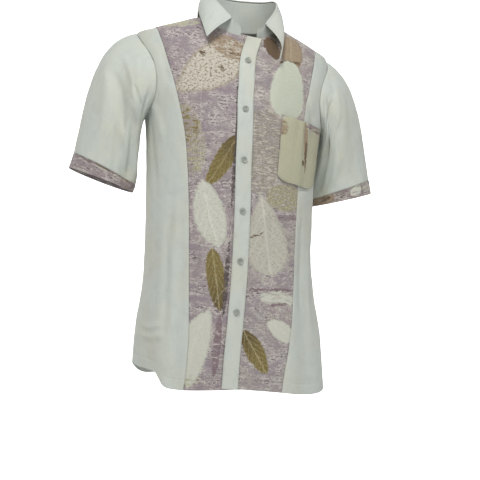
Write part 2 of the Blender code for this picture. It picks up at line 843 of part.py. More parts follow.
def main():
    """Build every piece of the shirt."""
    plain = cloth_material("plain_cloth", PLAIN_COLOUR, 0.85)
    leaf = cloth_material("leaf_print_cloth", PRINT_COLOUR, 0.8)
    horn = cloth_material("button_plastic", BUTTON_COLOUR, 0.3)
    rows = ROWS_BODY + ROWS_ARMHOLE
    seams = ("left", "right", "top")
    for side, word in ((-1, "right"), (1, "left")):
        wall(f"front_{word}_panel", print_panel(side), COLUMNS_PRINT, rows, seams, leaf)
        wall(f"front_{word}_side", side_panel(side), COLUMNS_SIDE, rows, seams, plain)
    wall("back", back_panel(), COLUMNS_BACK, rows, seams, plain)
    for row in SLEEVES:
        facing = float(row[1])
        wall(
            f"sleeve_{row[0]}",
            sleeve(row, 0.0, CUFF_SHARE, 0.0),
            COLUMNS_SLEEVE,
            ROWS_SLEEVE,
            ("bottom", "top"),
            plain,
            tube=True,
            facing=facing,
        )
        wall(
            f"cuff_{row[0]}",
            sleeve(row, CUFF_SHARE, 1.0, 0.0005),
            COLUMNS_SLEEVE,
            2,
            ("bottom",),
            leaf,
            tube=True,
            facing=facing,
        )
    wall("placket", placket(), 3, rows, (), plain)
    wall("pocket", pocket(), POCKET_COLUMNS, POCKET_ROWS, (), leaf)
    wall("collar_stand", collar_stand(), 28, 2, (), plain, facing=-1.0)
    wall("collar_fall", collar_fall(), 28, 8, (), plain)
    for number, level in enumerate(BUTTON_LEVELS, start=1):
        button(number, level, horn)


main()
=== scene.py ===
"""Short-sleeve shirt with leaf-print fronts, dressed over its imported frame.

Metres, +Z up, the front faces -Y and the wearer's right side is -X. Each piece of cloth is a
thin shell on the form that its solid has, with its creases, seams, prints and sewing.
"""

from __future__ import annotations

import logging
import math
from collections.abc import Callable, Sequence
from dataclasses import dataclass, field
from enum import Enum

import bmesh
import bpy
import numpy as np
from mathutils import Matrix, Vector, noise


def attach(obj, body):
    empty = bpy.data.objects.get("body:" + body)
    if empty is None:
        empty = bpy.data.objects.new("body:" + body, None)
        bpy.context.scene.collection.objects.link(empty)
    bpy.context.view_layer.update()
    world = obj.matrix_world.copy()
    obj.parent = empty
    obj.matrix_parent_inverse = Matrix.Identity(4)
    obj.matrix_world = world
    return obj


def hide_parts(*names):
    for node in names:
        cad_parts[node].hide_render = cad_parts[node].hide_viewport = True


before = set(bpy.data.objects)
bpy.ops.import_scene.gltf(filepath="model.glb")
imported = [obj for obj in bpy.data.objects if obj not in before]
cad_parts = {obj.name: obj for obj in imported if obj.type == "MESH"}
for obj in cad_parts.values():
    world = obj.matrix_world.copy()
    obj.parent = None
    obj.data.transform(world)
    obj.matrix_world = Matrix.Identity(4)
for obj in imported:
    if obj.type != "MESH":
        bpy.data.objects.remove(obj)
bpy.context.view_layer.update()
LOG = logging.getLogger("shirt")

Array = np.ndarray
Line = Callable[[Array], Array]

# Cloth
SHELL = 0.0008
CORNER_FULLNESS = 0.14
SHOULDER_TILT = 0.045
TILT_FROM_Z = -0.36
TILT_FULL_Z = -0.06
SEAM_DIP = 0.0005
SEAM_HALF = 0.0014
SEAM_GAP = 0.00012
HEM_TURN = 0.019
HEM_LIFT = 0.0003
GROOVE_HALF = 0.0012
GROOVE_DEPTH = 0.0004
ROUND_HALF = 0.0008
ROUND_DEPTH = 0.0005

# Levels
RIDGE_Z = -0.033
ARMPIT_Z = -0.205
TIP_Z = -0.046
NECK_SIDE_X = 0.075
NECK_FRONT_Z = -0.036
NECK_BACK_Z = -0.008
HEM_BACK_Z = -0.694
ARC_STEPS = 12
HALVINGS = 26
EDGE_DEGREES = 4.0

# Armhole and cut shares
ARMHOLE_FRONT = 33.0
ARMHOLE_BACK = 29.0
ARMHOLE_POINT = 0.45
BODY_SHARE = 10.0 / 22.0
BACK_SEAM_SHARE = 5.0 / 24.0
BACK_NECK_SHARE = 9.0 / 24.0
CUFF_SHARE = 0.895

# Front band, pocket, collar and buttons
PLACKET_WIDTH = 0.03
PLACKET_LIFT = 0.0024
UNDERLAP = 0.008
POCKET_LIFT = 0.0025
POCKET_PUFF = 0.0035
BUTTON_RADIUS = 0.0057
BUTTON_HEIGHT = 0.0021
BUTTON_LEVELS = (-0.0864, -0.1778, -0.2705, -0.3645, -0.4558, -0.5492)
LEAF_BOW = 0.013
FOLD_RISE = 0.0028
FOLD_REACH = 0.0046
STAND_DROP = 0.001
STAND_TUCK = 0.0014
WALL = 0.0013

# Stitches: place of a row from the edge of its piece, as a share
BAND_ROW = 0.07
HEM_ROW = 0.026
POCKET_ROW = 0.02
POCKET_TOP_ROW = 0.85
COLLAR_ROW = 0.012
COLLAR_EDGE_ROW = 0.92
STAND_ROW = 0.08

# Points of a cloth lie closer together at these distances from a seam or a hem
FINE_STEPS = (-0.0028, -0.0014, -0.0006, 0.0, 0.0006, 0.0014, 0.0028)
SMALLEST_STEP = 0.00045

# Sleeve chart
SLEEVE_RADIUS = 0.062
SLEEVE_LENGTH = 0.27

# Level, half width, front depth, back depth, shift along X, shift along Y
TORSO = (
    (0.012, 0.052, 0.022, 0.04, 0.0, 0.004),
    (0.0, 0.075, 0.04, 0.058, -0.001, 0.006),
    (-0.018, 0.121, 0.064, 0.072, -0.003, 0.015),
    (-0.033, 0.158, 0.088, 0.085, -0.005, 0.024),
    (-0.046, 0.186, 0.101, 0.093, -0.006, 0.03),
    (-0.075, 0.193, 0.114, 0.106, -0.005, 0.026),
    (-0.12, 0.19, 0.124, 0.116, -0.004, 0.018),
    (-0.205, 0.169, 0.128, 0.126, 0.001, 0.006),
    (-0.3, 0.162, 0.127, 0.122, 0.003, 0.002),
    (-0.43, 0.16, 0.126, 0.116, 0.007, 0.0),
    (-0.51, 0.164, 0.127, 0.122, 0.012, 0.0),
    (-0.6, 0.178, 0.129, 0.132, 0.018, 0.0),
    (-0.71, 0.187, 0.132, 0.138, 0.026, 0.0),
)

# Level, x of the wearer's right front seam, of the front edge and of the left front seam
FRONT_CUT = (
    (-0.033, -0.163, 0.018, 0.153),
    (-0.048, -0.16, 0.012, 0.1445),
    (-0.075, -0.152, 0.003, 0.1375),
    (-0.105, -0.1435, -0.001, 0.13),
    (-0.133, -0.134, -0.002, 0.125),
    (-0.165, -0.1246, -0.003, 0.119),
    (-0.197, -0.1157, -0.002, 0.1165),
    (-0.233, -0.1076, -0.001, 0.115),
    (-0.278, -0.101, 0.0, 0.1135),
    (-0.333, -0.095, 0.0025, 0.113),
    (-0.41, -0.089, 0.005, 0.114),
    (-0.48, -0.0846, 0.006, 0.1155),
    (-0.55, -0.08, 0.005, 0.115),
    (-0.61, -0.0775, 0.003, 0.1115),
    (-0.655, -0.078, 0.002, 0.1055),
    (-0.7, -0.0805, 0.002, 0.101),
)

# Share of the way from the front neck point to the side of the neck, x and level
NECK_FRONT = (
    (0.0, 0.018, -0.036),
    (0.3, 0.041, -0.03),
    (0.6, 0.061, -0.021),
    (0.85, 0.0735, -0.01),
    (1.0, 0.074, 0.0),
)

# Degrees from the front middle, hem level on the wearer's right and left
HEM = (
    (0.0, -0.6905, -0.6905),
    (20.0, -0.6955, -0.6925),
    (38.0, -0.6985, -0.6965),
    (45.0, -0.6975, -0.6975),
    (49.0, -0.693, -0.6975),
    (52.5, -0.68, -0.697),
    (56.0, -0.6705, -0.6965),
    (66.0, -0.6675, -0.692),
    (78.0, -0.665, -0.6855),
    (90.0, -0.6625, -0.679),
)

# Side, ring middle x, y and z, half width, half depth, tilt in degrees, top reach
SLEEVES = {
    "right": (-1, -0.2425, 0.028, -0.3235, 0.064, 0.054, 16.5, 0.3),
    "left": (1, 0.233, 0.03, -0.3245, 0.0625, 0.053, 17.0, 0.238),
}

# Height, half spread in degrees, angle and share at its start, at its end
SLEEVE_FOLDS = {
    "right": (
        (-0.0085, 17.0, 48.0, 0.16, 138.0, 1.0),
        (0.005, 14.0, 82.0, 0.2, 165.0, 0.9),
        (-0.005, 11.0, 112.0, 0.1, 140.0, 0.34),
        (-0.004, 18.0, 262.0, 0.2, 225.0, 0.95),
    ),
    "left": (
        (-0.006, 12.0, 88.0, 0.12, 138.0, 0.5),
        (0.0045, 14.0, 60.0, 0.2, 112.0, 0.8),
        (-0.007, 18.0, 120.0, 0.45, 150.0, 1.0),
        (-0.004, 18.0, 262.0, 0.2, 225.0, 0.95),
    ),
}

# Front side, height, half spread in degrees, degrees from the front middle and level at its
# start and at its end
TORSO_FOLDS = (
    (-1, 0.003, 9.0, 62.0, -0.34, 52.0, -0.69),
    (-1, -0.0026, 7.0, 48.0, -0.36, 40.0, -0.69),
    (-1, -0.003, 8.0, 74.0, -0.56, 60.0, -0.69),
    (1, 0.003, 8.0, 34.0, -0.38, 30.0, -0.69),
    (1, -0.0035, 8.0, 58.0, -0.33, 44.0, -0.69),
    (1, 0.0035, 9.0, 78.0, -0.48, 66.0, -0.69),
    (1, -0.003, 6.0, 55.0, -0.13, 50.0, -0.3),
)

# Foot x and z, fold x, y and z, lower edge x, y and z, from the wearer's right front round
# the back to the left front
COLLAR = (
    (-0.034, -0.0335, -0.0285, -0.069, -0.0085, -0.0785, -0.09, -0.051),
    (-0.064, -0.019, -0.057, -0.034, 0.027, -0.084, -0.047, -0.015),
    (-0.076, 0.0, -0.067, 0.008, 0.046, -0.082, 0.004, 0.0085),
    (-0.05, -0.004, -0.048, 0.053, 0.051, -0.063, 0.07, 0.005),
    (0.0, -0.008, 0.0, 0.068, 0.051, 0.0, 0.089, 0.002),
    (0.05, -0.004, 0.048, 0.053, 0.052, 0.063, 0.071, 0.005),
    (0.074, 0.0, 0.065, 0.008, 0.048, 0.0795, 0.006, 0.002),
    (0.062, -0.019, 0.059, -0.034, 0.026, 0.077, -0.049, -0.022),
    (0.038, -0.0325, 0.033, -0.07, -0.012, 0.059, -0.101, -0.078),
)
STAND_ENDS = (
    (-0.01, -0.0385, -0.011, -0.066, -0.017),
    (0.021, -0.036, 0.02, -0.068, -0.019),
)

# Corner, x and level of the chest pocket
POCKET = {
    "top_inner": (0.0685, -0.179),
    "top_outer": (0.159, -0.193),
    "bottom_outer": (0.15, -0.315),
    "bottom_inner": (0.0655, -0.302),
}

# Height, width, lean, then x and level at the start, the middle and the end
BODY_CREASES = {
    "front": (
        (0.0025, 0.0075, -0.5, -0.1139, -0.3343, -0.109, -0.4809, -0.1055, -0.6271),
        (-0.0019, 0.006, 0.3, -0.1255, -0.3809, -0.1201, -0.5187, -0.1191, -0.6285),
        (0.0021, 0.005, -0.8, -0.1562, -0.5861, -0.1418, -0.5898, -0.117, -0.577),
        (0.002, 0.0055, -0.8, -0.1567, -0.6064, -0.1378, -0.6075, -0.1091, -0.5963),
        (-0.0022, 0.008, 0.4, -0.1661, -0.1919, -0.1555, -0.2629, -0.1426, -0.3542),
        (0.0019, 0.0075, 0.4, -0.1677, -0.1738, -0.1525, -0.2095, -0.1395, -0.2631),
        (0.0019, 0.009, 0.3, -0.1083, -0.6091, -0.1123, -0.6552, -0.12, -0.6929),
        (-0.002, 0.008, 0.5, 0.1264, -0.3344, 0.1313, -0.447, 0.1351, -0.5774),
        (0.0019, 0.007, 0.3, 0.1508, -0.4084, 0.153, -0.503, 0.165, -0.5778),
        (-0.0025, 0.0075, 0.6, 0.1183, -0.1136, 0.1262, -0.1512, 0.15, -0.1905),
        (-0.0016, 0.008, 0.3, -0.1575, -0.053, -0.149, -0.1018, -0.1345, -0.1559),
        (-0.0014, 0.007, 0.4, -0.061, -0.19, -0.056, -0.3, -0.06, -0.4),
        (0.0014, 0.008, 0.4, -0.033, -0.33, -0.03, -0.43, -0.033, -0.53),
        (-0.0014, 0.006, 0.4, 0.06, -0.35, 0.064, -0.43, 0.06, -0.52),
        (0.0016, 0.0045, -0.8, 0.0281, -0.5075, 0.07, -0.5065, 0.1123, -0.5035),
        (0.0012, 0.005, -0.6, 0.035, -0.364, 0.07, -0.369, 0.112, -0.364),
        (-0.0016, 0.007, 0.5, 0.056, -0.07, 0.048, -0.12, 0.044, -0.18),
        (-0.0012, 0.0065, 0.4, -0.05, -0.09, -0.035, -0.15, -0.028, -0.22),
    ),
    "back": (
        (-0.0031, 0.011, 0.4, 0.09, -0.09, 0.098, -0.16, 0.14, -0.23),
        (-0.0028, 0.011, -0.4, -0.095, -0.085, -0.105, -0.16, -0.148, -0.235),
        (0.0025, 0.012, 0.3, 0.06, -0.13, 0.05, -0.26, 0.06, -0.42),
        (0.0025, 0.012, -0.3, -0.056, -0.12, -0.05, -0.25, -0.045, -0.43),
        (-0.0022, 0.008, 0.6, -0.07, -0.425, -0.01, -0.438, 0.06, -0.422),
        (0.0019, 0.008, 0.6, -0.09, -0.456, -0.03, -0.464, 0.05, -0.456),
        (-0.0031, 0.013, 0.4, 0.085, -0.44, 0.095, -0.56, 0.09, -0.69),
        (0.0034, 0.014, 0.3, 0.035, -0.47, 0.042, -0.58, 0.035, -0.69),
        (-0.0031, 0.013, -0.4, -0.03, -0.48, -0.032, -0.58, -0.025, -0.69),
        (0.0028, 0.013, -0.3, -0.095, -0.45, -0.105, -0.57, -0.1, -0.69),
        (-0.0016, 0.007, 0.5, -0.11, -0.33, -0.07, -0.35, -0.025, -0.345),
        (0.0016, 0.007, 0.5, 0.03, -0.37, 0.08, -0.36, 0.125, -0.335),
    ),
}

# Height, width, lean, then turn and share at the start, the middle and the end
SLEEVE_CREASES = {
    "right": (
        (-0.0046, 0.0095, 0.6, 40.0, 0.3, 76.0, 0.44, 122.0, 0.66),
        (-0.0105, 0.0125, 0.3, 96.0, 0.36, 124.0, 0.58, 138.0, 0.98),
        (-0.0036, 0.005, 0.7, 80.0, 0.24, 98.0, 0.28, 126.0, 0.27),
        (-0.001, 0.006, 0.4, 56.0, 0.06, 72.0, 0.12, 88.0, 0.2),
        (0.004, 0.0085, -0.5, 88.0, 0.46, 116.0, 0.66, 136.0, 0.94),
        (0.0024, 0.009, -0.4, 22.0, 0.3, 52.0, 0.5, 66.0, 0.8),
        (0.0022, 0.0065, -0.5, 36.0, 0.16, 60.0, 0.22, 86.0, 0.29),
        (-0.0026, 0.0075, 0.4, 82.0, 0.54, 94.0, 0.74, 104.0, 0.96),
        (0.0022, 0.007, 0.3, 156.0, 0.44, 146.0, 0.66, 152.0, 0.86),
        (-0.0008, 0.007, 0.3, 30.0, 0.6, 38.0, 0.74, 42.0, 0.9),
        (-0.0022, 0.008, 0.5, 300.0, 0.22, 262.0, 0.4, 228.0, 0.62),
        (0.0016, 0.008, 0.4, 320.0, 0.34, 292.0, 0.54, 262.0, 0.82),
    ),
    "left": (
        (-0.0042, 0.0065, 0.6, 76.0, 0.16, 104.0, 0.21, 140.0, 0.18),
        (-0.0085, 0.0115, 0.3, 128.0, 0.3, 146.0, 0.54, 156.0, 0.9),
        (-0.0024, 0.004, 0.5, 94.0, 0.06, 102.0, 0.1, 114.0, 0.14),
        (-0.0044, 0.0095, 0.5, 118.0, 0.36, 138.0, 0.58, 152.0, 0.86),
        (0.0028, 0.007, -0.4, 62.0, 0.14, 80.0, 0.28, 98.0, 0.4),
        (0.0008, 0.009, 0.3, 66.0, 0.32, 76.0, 0.58, 78.0, 0.84),
        (-0.001, 0.006, 0.4, 48.0, 0.03, 62.0, 0.1, 76.0, 0.19),
        (0.0026, 0.0075, 0.5, 98.0, 0.42, 108.0, 0.64, 114.0, 0.86),
        (-0.0022, 0.008, 0.5, 300.0, 0.22, 262.0, 0.4, 228.0, 0.62),
        (0.0016, 0.008, 0.4, 322.0, 0.34, 290.0, 0.54, 260.0, 0.8),
    ),
}


def smooth(low: float, high: float, value: Array | float) -> Array:
    """Share from 0 at low to 1 at high with soft ends."""
    share = np.clip((np.asarray(value, float) - low) / (high - low), 0.0, 1.0)
    return share * share * (3.0 - 2.0 * share)


def stack(x: Array | float, y: Array | float, z: Array | float) -> Array:
    """Points from their three coordinates."""
    return np.stack(np.broadcast_arrays(*(np.asarray(part, float) for part in (x, y, z))), -1)


def unit(vectors: Array) -> Array:
    """Vectors at length 1."""
    length = np.linalg.norm(vectors, axis=-1, keepdims=True)
    return vectors / np.maximum(length, 1e-9)


def spread(values: Array) -> Array:
    """Numbers as a column, to scale points with."""
    return np.asarray(values, float)[..., None]


def upward(height: Array) -> Array:
    """Ways straight up by heights."""
    return stack(0.0, 0.0, height)


def rumple(points: Array) -> Array:
    """Height of the slight unevenness of worn cloth at points.

    Args:
        points: Points of a cloth surface.

    Returns:
        The height at each point, in metres.
    """
    flat = points.reshape(-1, 3)
    rough = [noise.noise(Vector(point) * 34.0) for point in flat]
    fine = [noise.noise(Vector(point) * 95.0) for point in flat]
    height = 0.00085 * np.array(rough) + 0.00022 * np.array(fine)
    return height.reshape(points.shape[:-1])


class SoftTable:
    """Rows of sizes read along a soft curve that never runs past the rows."""

    def __init__(self, rows: Sequence[Sequence[float]]) -> None:
        """Sorts the rows and works out their slopes.

        Args:
            rows: Key first, then the columns that are read.
        """
        table = np.array(sorted(rows), float)
        self.keys = table[:, 0]
        self.values = table[:, 1:]
        secant = np.diff(self.values, axis=0) / np.diff(self.keys)[:, None]
        slopes = np.empty_like(self.values)
        slopes[0], slopes[-1] = secant[0], secant[-1]
        before, after = secant[:-1], secant[1:]
        total = np.where(np.abs(before + after) < 1e-12, 1.0, before + after)
        slopes[1:-1] = np.where(before * after > 0.0, 2.0 * before * after / total, 0.0)
        self.slopes = slopes

    def at(self, key: Array | float) -> list[Array]:
        """Columns at keys.

        Args:
            key: Where to read.

        Returns:
            One array for each column.
        """
        key = np.clip(np.asarray(key, float), self.keys[0], self.keys[-1])
        low = np.clip(np.searchsorted(self.keys, key, side="right") - 1, 0, len(self.keys) - 2)
        span = self.keys[low + 1] - self.keys[low]
        t = (key - self.keys[low]) / span
        found = []
        for column in range(self.values.shape[1]):
            start, end = self.values[low, column], self.values[low + 1, column]
            leave, reach = self.slopes[low, column], self.slopes[low + 1, column]
            rise = end - start
            bend = leave * t * (1.0 - t) ** 2 - reach * t * t * (1.0 - t)
            found.append(start + rise * t * t * (3.0 - 2.0 * t) + span * bend)
        return found


class CreaseMap:
    """Heights of placed creases over a chart, read between its cells."""

    def __init__(self, first: Array, second: Array, across: Array, along: Array) -> None:
        """Starts flat.

        Args:
            first: Evenly spaced first keys, such as degrees.
            second: Evenly spaced second keys, such as levels.
            across: Metres across at each cell.
            along: Metres along at each cell.
        """
        self.first, self.second = first, second
        self.across, self.along = across, along
        self.height = np.zeros_like(across)

    def add(self, height: float, width: float, lean: float, points: Sequence[tuple]) -> None:
        """Adds one soft ridge or trough with tapered ends.

        Args:
            height: Metres out at its middle, below 0 for a trough.
            width: Metres from its middle line to where it fades.
            lean: How much of a counter fold lies beside it, and on which side.
            points: Start, middle and end on the chart, in metres.
        """
        start, middle, end = (np.array(point, float) for point in points)
        bend = 2.0 * middle - 0.5 * (start + end)
        t = np.linspace(0.0, 1.0, 23)[:, None]
        line = start * (1.0 - t) ** 2 + bend * 2.0 * t * (1.0 - t) + end * t * t
        low, high = line.min(0) - 4.5 * width, line.max(0) + 4.5 * width
        near = (self.across > low[0]) & (self.across < high[0])
        near &= (self.along > low[1]) & (self.along < high[1])
        cells = np.stack([self.across[near], self.along[near]], -1)
        best = np.full(len(cells), 9.0)
        sign = np.zeros(len(cells))
        place = np.zeros(len(cells))
        for index in range(len(line) - 1):
            step = line[index + 1] - line[index]
            length = max(float(np.hypot(*step)), 1e-6)
            way = step / length
            offset = cells - line[index]
            share = np.clip((offset @ way) / length, 0.0, 1.0)
            gap = offset - share[:, None] * step
            distance = np.hypot(gap[:, 0], gap[:, 1])
            nearer = distance < best
            best = np.where(nearer, distance, best)
            turn = way[0] * offset[:, 1] - way[1] * offset[:, 0]
            sign = np.where(nearer, np.sign(turn), sign)
            place = np.where(nearer, (index + share) / (len(line) - 1), place)
        taper = smooth(0.0, 0.28, place) * smooth(1.0, 0.72, place)
        narrow = width * (0.65 + 0.5 * np.sin(math.pi * place))
        profile = np.exp(-((best / narrow) ** 2))
        beside = best * sign * (1.0 if lean > 0.0 else -1.0) - 1.7 * narrow
        profile -= 0.45 * abs(lean) * np.exp(-((beside / narrow) ** 2))
        self.height[near] += height * taper * profile

    def at(self, first: Array, second: Array) -> Array:
        """Height at keys.

        Args:
            first: First keys.
            second: Second keys.

        Returns:
            The height there, in metres.
        """
        columns, rows = len(self.first), len(self.second)
        a = (first - self.first[0]) / (self.first[1] - self.first[0])
        b = (second - self.second[0]) / (self.second[1] - self.second[0])
        a, b = np.clip(a, 0.0, columns - 1.001), np.clip(b, 0.0, rows - 1.001)
        i, j = a.astype(int), b.astype(int)
        p, q = a - i, b - j
        found = self.height[i, j] * (1.0 - p) * (1.0 - q) + self.height[i + 1, j] * p * (1.0 - q)
        return found + self.height[i, j + 1] * (1.0 - p) * q + self.height[i + 1, j + 1] * p * q


@dataclass
class Body:
    """Surface of the shirt's body, from which all its panels are cut."""

    sizes: SoftTable = field(default_factory=lambda: SoftTable(TORSO))
    cut: SoftTable = field(default_factory=lambda: SoftTable(FRONT_CUT))
    neck: SoftTable = field(default_factory=lambda: SoftTable(NECK_FRONT))
    hem: SoftTable = field(default_factory=lambda: SoftTable(HEM))
    creases: CreaseMap | None = None

    def crease(self) -> None:
        """Places the creases of the front and of the back."""
        degrees = np.arange(-180.0, 180.01, 0.4)
        levels = np.arange(-0.712, 0.0131, 0.002)
        turn, level = np.meshgrid(degrees, levels, indexing="ij")
        front = CreaseMap(degrees, levels, self.arc(turn, level), level)
        behind = CreaseMap(degrees, levels, self.arc(turn, level, True), level)
        for face, chart in (("front", front), ("back", behind)):
            for height, width, lean, *places in BODY_CREASES[face]:
                points = []
                for x, z in zip(places[::2], places[1::2]):
                    angle = self.angle_at(np.array(x), np.array(z))
                    if face == "back":
                        angle = 180.0 - angle
                    points.append((float(self.arc(angle, np.array(z), face == "back")), z))
                chart.add(height, width, lean, points)
        front.height += behind.height
        self.creases = front

    def point(self, degrees: Array, level: Array) -> Array:
        """Body surface: 0 degrees is the front, 90 the wearer's left side.

        Args:
            degrees: Angle round the body.
            level: Height, in metres.

        Returns:
            Points before the slope of the shoulders.
        """
        half, front, back, shift_x, shift_y = self.sizes.at(level)
        angle = np.radians(degrees)
        across, along = np.sin(angle), np.cos(angle)
        depth = np.where(along > 0.0, front, back)
        full = 1.0 + CORNER_FULLNESS * across * across
        out = unit(stack(across / half, -along / depth, 0.0))
        spot = stack(shift_x + half * across, shift_y - depth * along * full, level)
        return spot + out * spread(self.relief(degrees, level))

    def relief(self, degrees: Array, level: Array) -> Array:
        """Height of the folds and creases at an angle and a level.

        Args:
            degrees: Angle round the body.
            level: Height, in metres.

        Returns:
            The height, in metres.
        """
        turn = (np.asarray(degrees, float) + 180.0) % 360.0 - 180.0
        total = np.zeros(np.broadcast(turn, level).shape)
        for side, height, width, start, start_z, end, end_z in TORSO_FOLDS:
            share = (level - start_z) / (end_z - start_z)
            middle = side * (start + (end - start) * np.clip(share, 0.0, 1.0))
            weight = smooth(-0.2, 0.35, share) * (share <= 1.1)
            total = total + height * weight * np.exp(-(((turn - middle) / width) ** 2))
        if self.creases is not None:
            total = total + self.creases.at(turn, np.asarray(level, float))
        return total

    def arc(self, degrees: Array, level: Array, behind: bool = False) -> Array:
        """Metres round the body to an angle.

        Args:
            degrees: Angle round the body.
            level: Height, in metres.
            behind: Whether they count from the back middle, not from the front middle.

        Returns:
            The run along the surface.
        """
        half, front, back, _shift_x, _shift_y = self.sizes.at(level)
        turn = np.radians(degrees)
        if behind:
            turn = np.radians((np.asarray(degrees, float) % 360.0) - 180.0)
            front, back = back, front
        total = 0.0
        for step in range(ARC_STEPS):
            angle = turn * (step + 0.5) / ARC_STEPS
            depth = np.where(np.cos(angle) > 0.0, front, back)
            total = total + np.hypot(half * np.cos(angle), depth * np.sin(angle))
        return total * turn / ARC_STEPS

    def angle_at(self, x: Array, level: Array) -> Array:
        """Degrees of the front surface at an x and a level."""
        half, _front, _back, shift_x, _shift_y = self.sizes.at(level)
        return np.degrees(np.arcsin(np.clip((x - shift_x) / half, -1.0, 1.0)))

    def degrees_of(self, points: Array) -> Array:
        """Angle whose full corner lies in the direction of points.

        Args:
            points: Points to read.

        Returns:
            The angle, in degrees.
        """
        half, front, back, shift_x, shift_y = self.sizes.at(points[..., 2])
        across = (points[..., 0] - shift_x) / half
        depth = np.where(points[..., 1] < shift_y, front, back)
        wanted = np.arctan2(across, -(points[..., 1] - shift_y) / depth)
        found = wanted
        for _step in range(6):
            full = 1.0 + CORNER_FULLNESS * np.sin(found) ** 2
            found = np.arctan2(np.sin(wanted) * full, np.cos(wanted))
        return np.degrees(found)

    def settle(self, points: Array) -> Array:
        """Points with the slope of the two shoulders taken in.

        Args:
            points: Points to move.

        Returns:
            The moved points.
        """
        share = smooth(TILT_FROM_Z, TILT_FULL_Z, points[..., 2])
        drop = -SHOULDER_TILT * points[..., 0] * share
        return points + upward(drop)

    def hem_level(self, degrees: Array) -> Array:
        """Hem level at an angle round the body.

        Args:
            degrees: Angle round the body.

        Returns:
            The level, in metres.
        """
        away = np.abs(degrees)
        right, left = self.hem.at(np.minimum(away, 90.0))
        level = np.where(np.asarray(degrees) < 0.0, right, left)
        return level + (HEM_BACK_Z - level) * smooth(90.0, 132.0, away)

    def armhole(self, side: int, turn: Array) -> Array:
        """Armhole: a turn of 0 is the shoulder tip, 90 the front, 180 the armpit.

        Args:
            side: -1 for the wearer's right, 1 for the left.
            turn: Degrees round.

        Returns:
            Points of the armhole.
        """
        turn = (np.asarray(turn, float) + 180.0) % 360.0 - 180.0
        angle = np.radians(turn)
        even = 1.0 - np.abs(turn) / 90.0
        level = 0.5 * (TIP_Z + ARMPIT_Z) + 0.5 * (TIP_Z - ARMPIT_Z) * (
            np.cos(angle) * (1.0 - ARMHOLE_POINT) + even * ARMHOLE_POINT
        )
        reach = np.where(np.sin(angle) > 0.0, ARMHOLE_FRONT, ARMHOLE_BACK)
        return self.point(side * (90.0 - reach * np.sin(angle)), level)

    def levels(self, hem: Array, top: float, share: Array) -> Array:
        """Levels from the hem at 0 past the armpit to a top at 1.

        Args:
            hem: Level at the hem.
            top: Level at the top.
            share: Shares of the way.

        Returns:
            The levels.
        """
        low = hem + (ARMPIT_Z - hem) * share / BODY_SHARE
        high = ARMPIT_Z + (top - ARMPIT_Z) * (share - BODY_SHARE) / (1.0 - BODY_SHARE)
        return np.where(share <= BODY_SHARE, low, high)

    def front_line(self, column: int, share: Array, top: float) -> Array:
        """Front cut line, from the hem at 0 to its top at 1.

        Args:
            column: Column of the front cut.
            share: Shares of the way.
            top: Level at the top.

        Returns:
            Points of the line.
        """
        hem = np.array(-0.69)
        for _step in range(8):
            hem = self.hem_level(self.angle_at(self.cut.at(hem)[column], hem))
        level = self.levels(hem, top, share)
        return self.point(self.angle_at(self.cut.at(level)[column], level), level)

    def front_edge(self, shift: float) -> Line:
        """Front edge line moved sideways by a shift.

        Args:
            shift: How far it is moved along X, in metres.

        Returns:
            The line.
        """

        def line(share: Array) -> Array:
            """Points of the edge at shares."""
            level = self.levels(self.hem_level(np.array(EDGE_DEGREES)), NECK_FRONT_Z, share)
            return self.point(self.angle_at(self.cut.at(level)[1] + shift, level), level)

        return line

    def outer_line(self, side: int, back: bool) -> Line:
        """Side seam from the hem, then the armhole to the shoulder tip.

        Args:
            side: -1 for the wearer's right, 1 for the left.
            back: Whether it goes round the back of the armhole.

        Returns:
            The line.
        """

        def line(share: Array) -> Array:
            """Points of the line at shares.

            Args:
                share: Shares of the way.

            Returns:
                The points.
            """
            hem = self.hem_level(np.array(side * 90.0))
            level = hem + (ARMPIT_Z - hem) * np.minimum(share / BODY_SHARE, 1.0)
            low = self.point(np.full(level.shape, side * 90.0), level)
            around = 180.0 * (1.0 - np.clip((share - BODY_SHARE) / (1.0 - BODY_SHARE), 0.0, 1.0))
            high = self.armhole(side, -around if back else around)
            return np.where(spread(share <= BODY_SHARE), low, high)

        return line

    def shoulder(self, side: int, x_from: float, x_to: float, share: Array) -> Array:
        """Shoulder seam between two half widths.

        Args:
            side: -1 for the wearer's right, 1 for the left.
            x_from: Half width at its start.
            x_to: Half width at its end.
            share: Shares of the way.

        Returns:
            Points of the seam.
        """
        wanted = x_from + (x_to - x_from) * np.asarray(share, float)
        low, high = np.full(wanted.shape, TIP_Z), np.full(wanted.shape, 0.004)
        for _step in range(HALVINGS):
            level = 0.5 * (low + high)
            wider = self.sizes.at(level)[0] > wanted
            low, high = np.where(wider, level, low), np.where(wider, high, level)
        return self.point(np.full(wanted.shape, side * 90.0), 0.5 * (low + high))

    def seam_half(self, side: int) -> float:
        """Half width of the shoulder seam where the print panel ends."""
        shift_x = float(self.sizes.at(RIDGE_Z)[3])
        return abs((FRONT_CUT[0][1] if side < 0 else FRONT_CUT[0][3]) - shift_x)

    def tip_half(self) -> float:
        """Half width of the body at the shoulder tips."""
        return float(self.sizes.at(TIP_Z)[0])


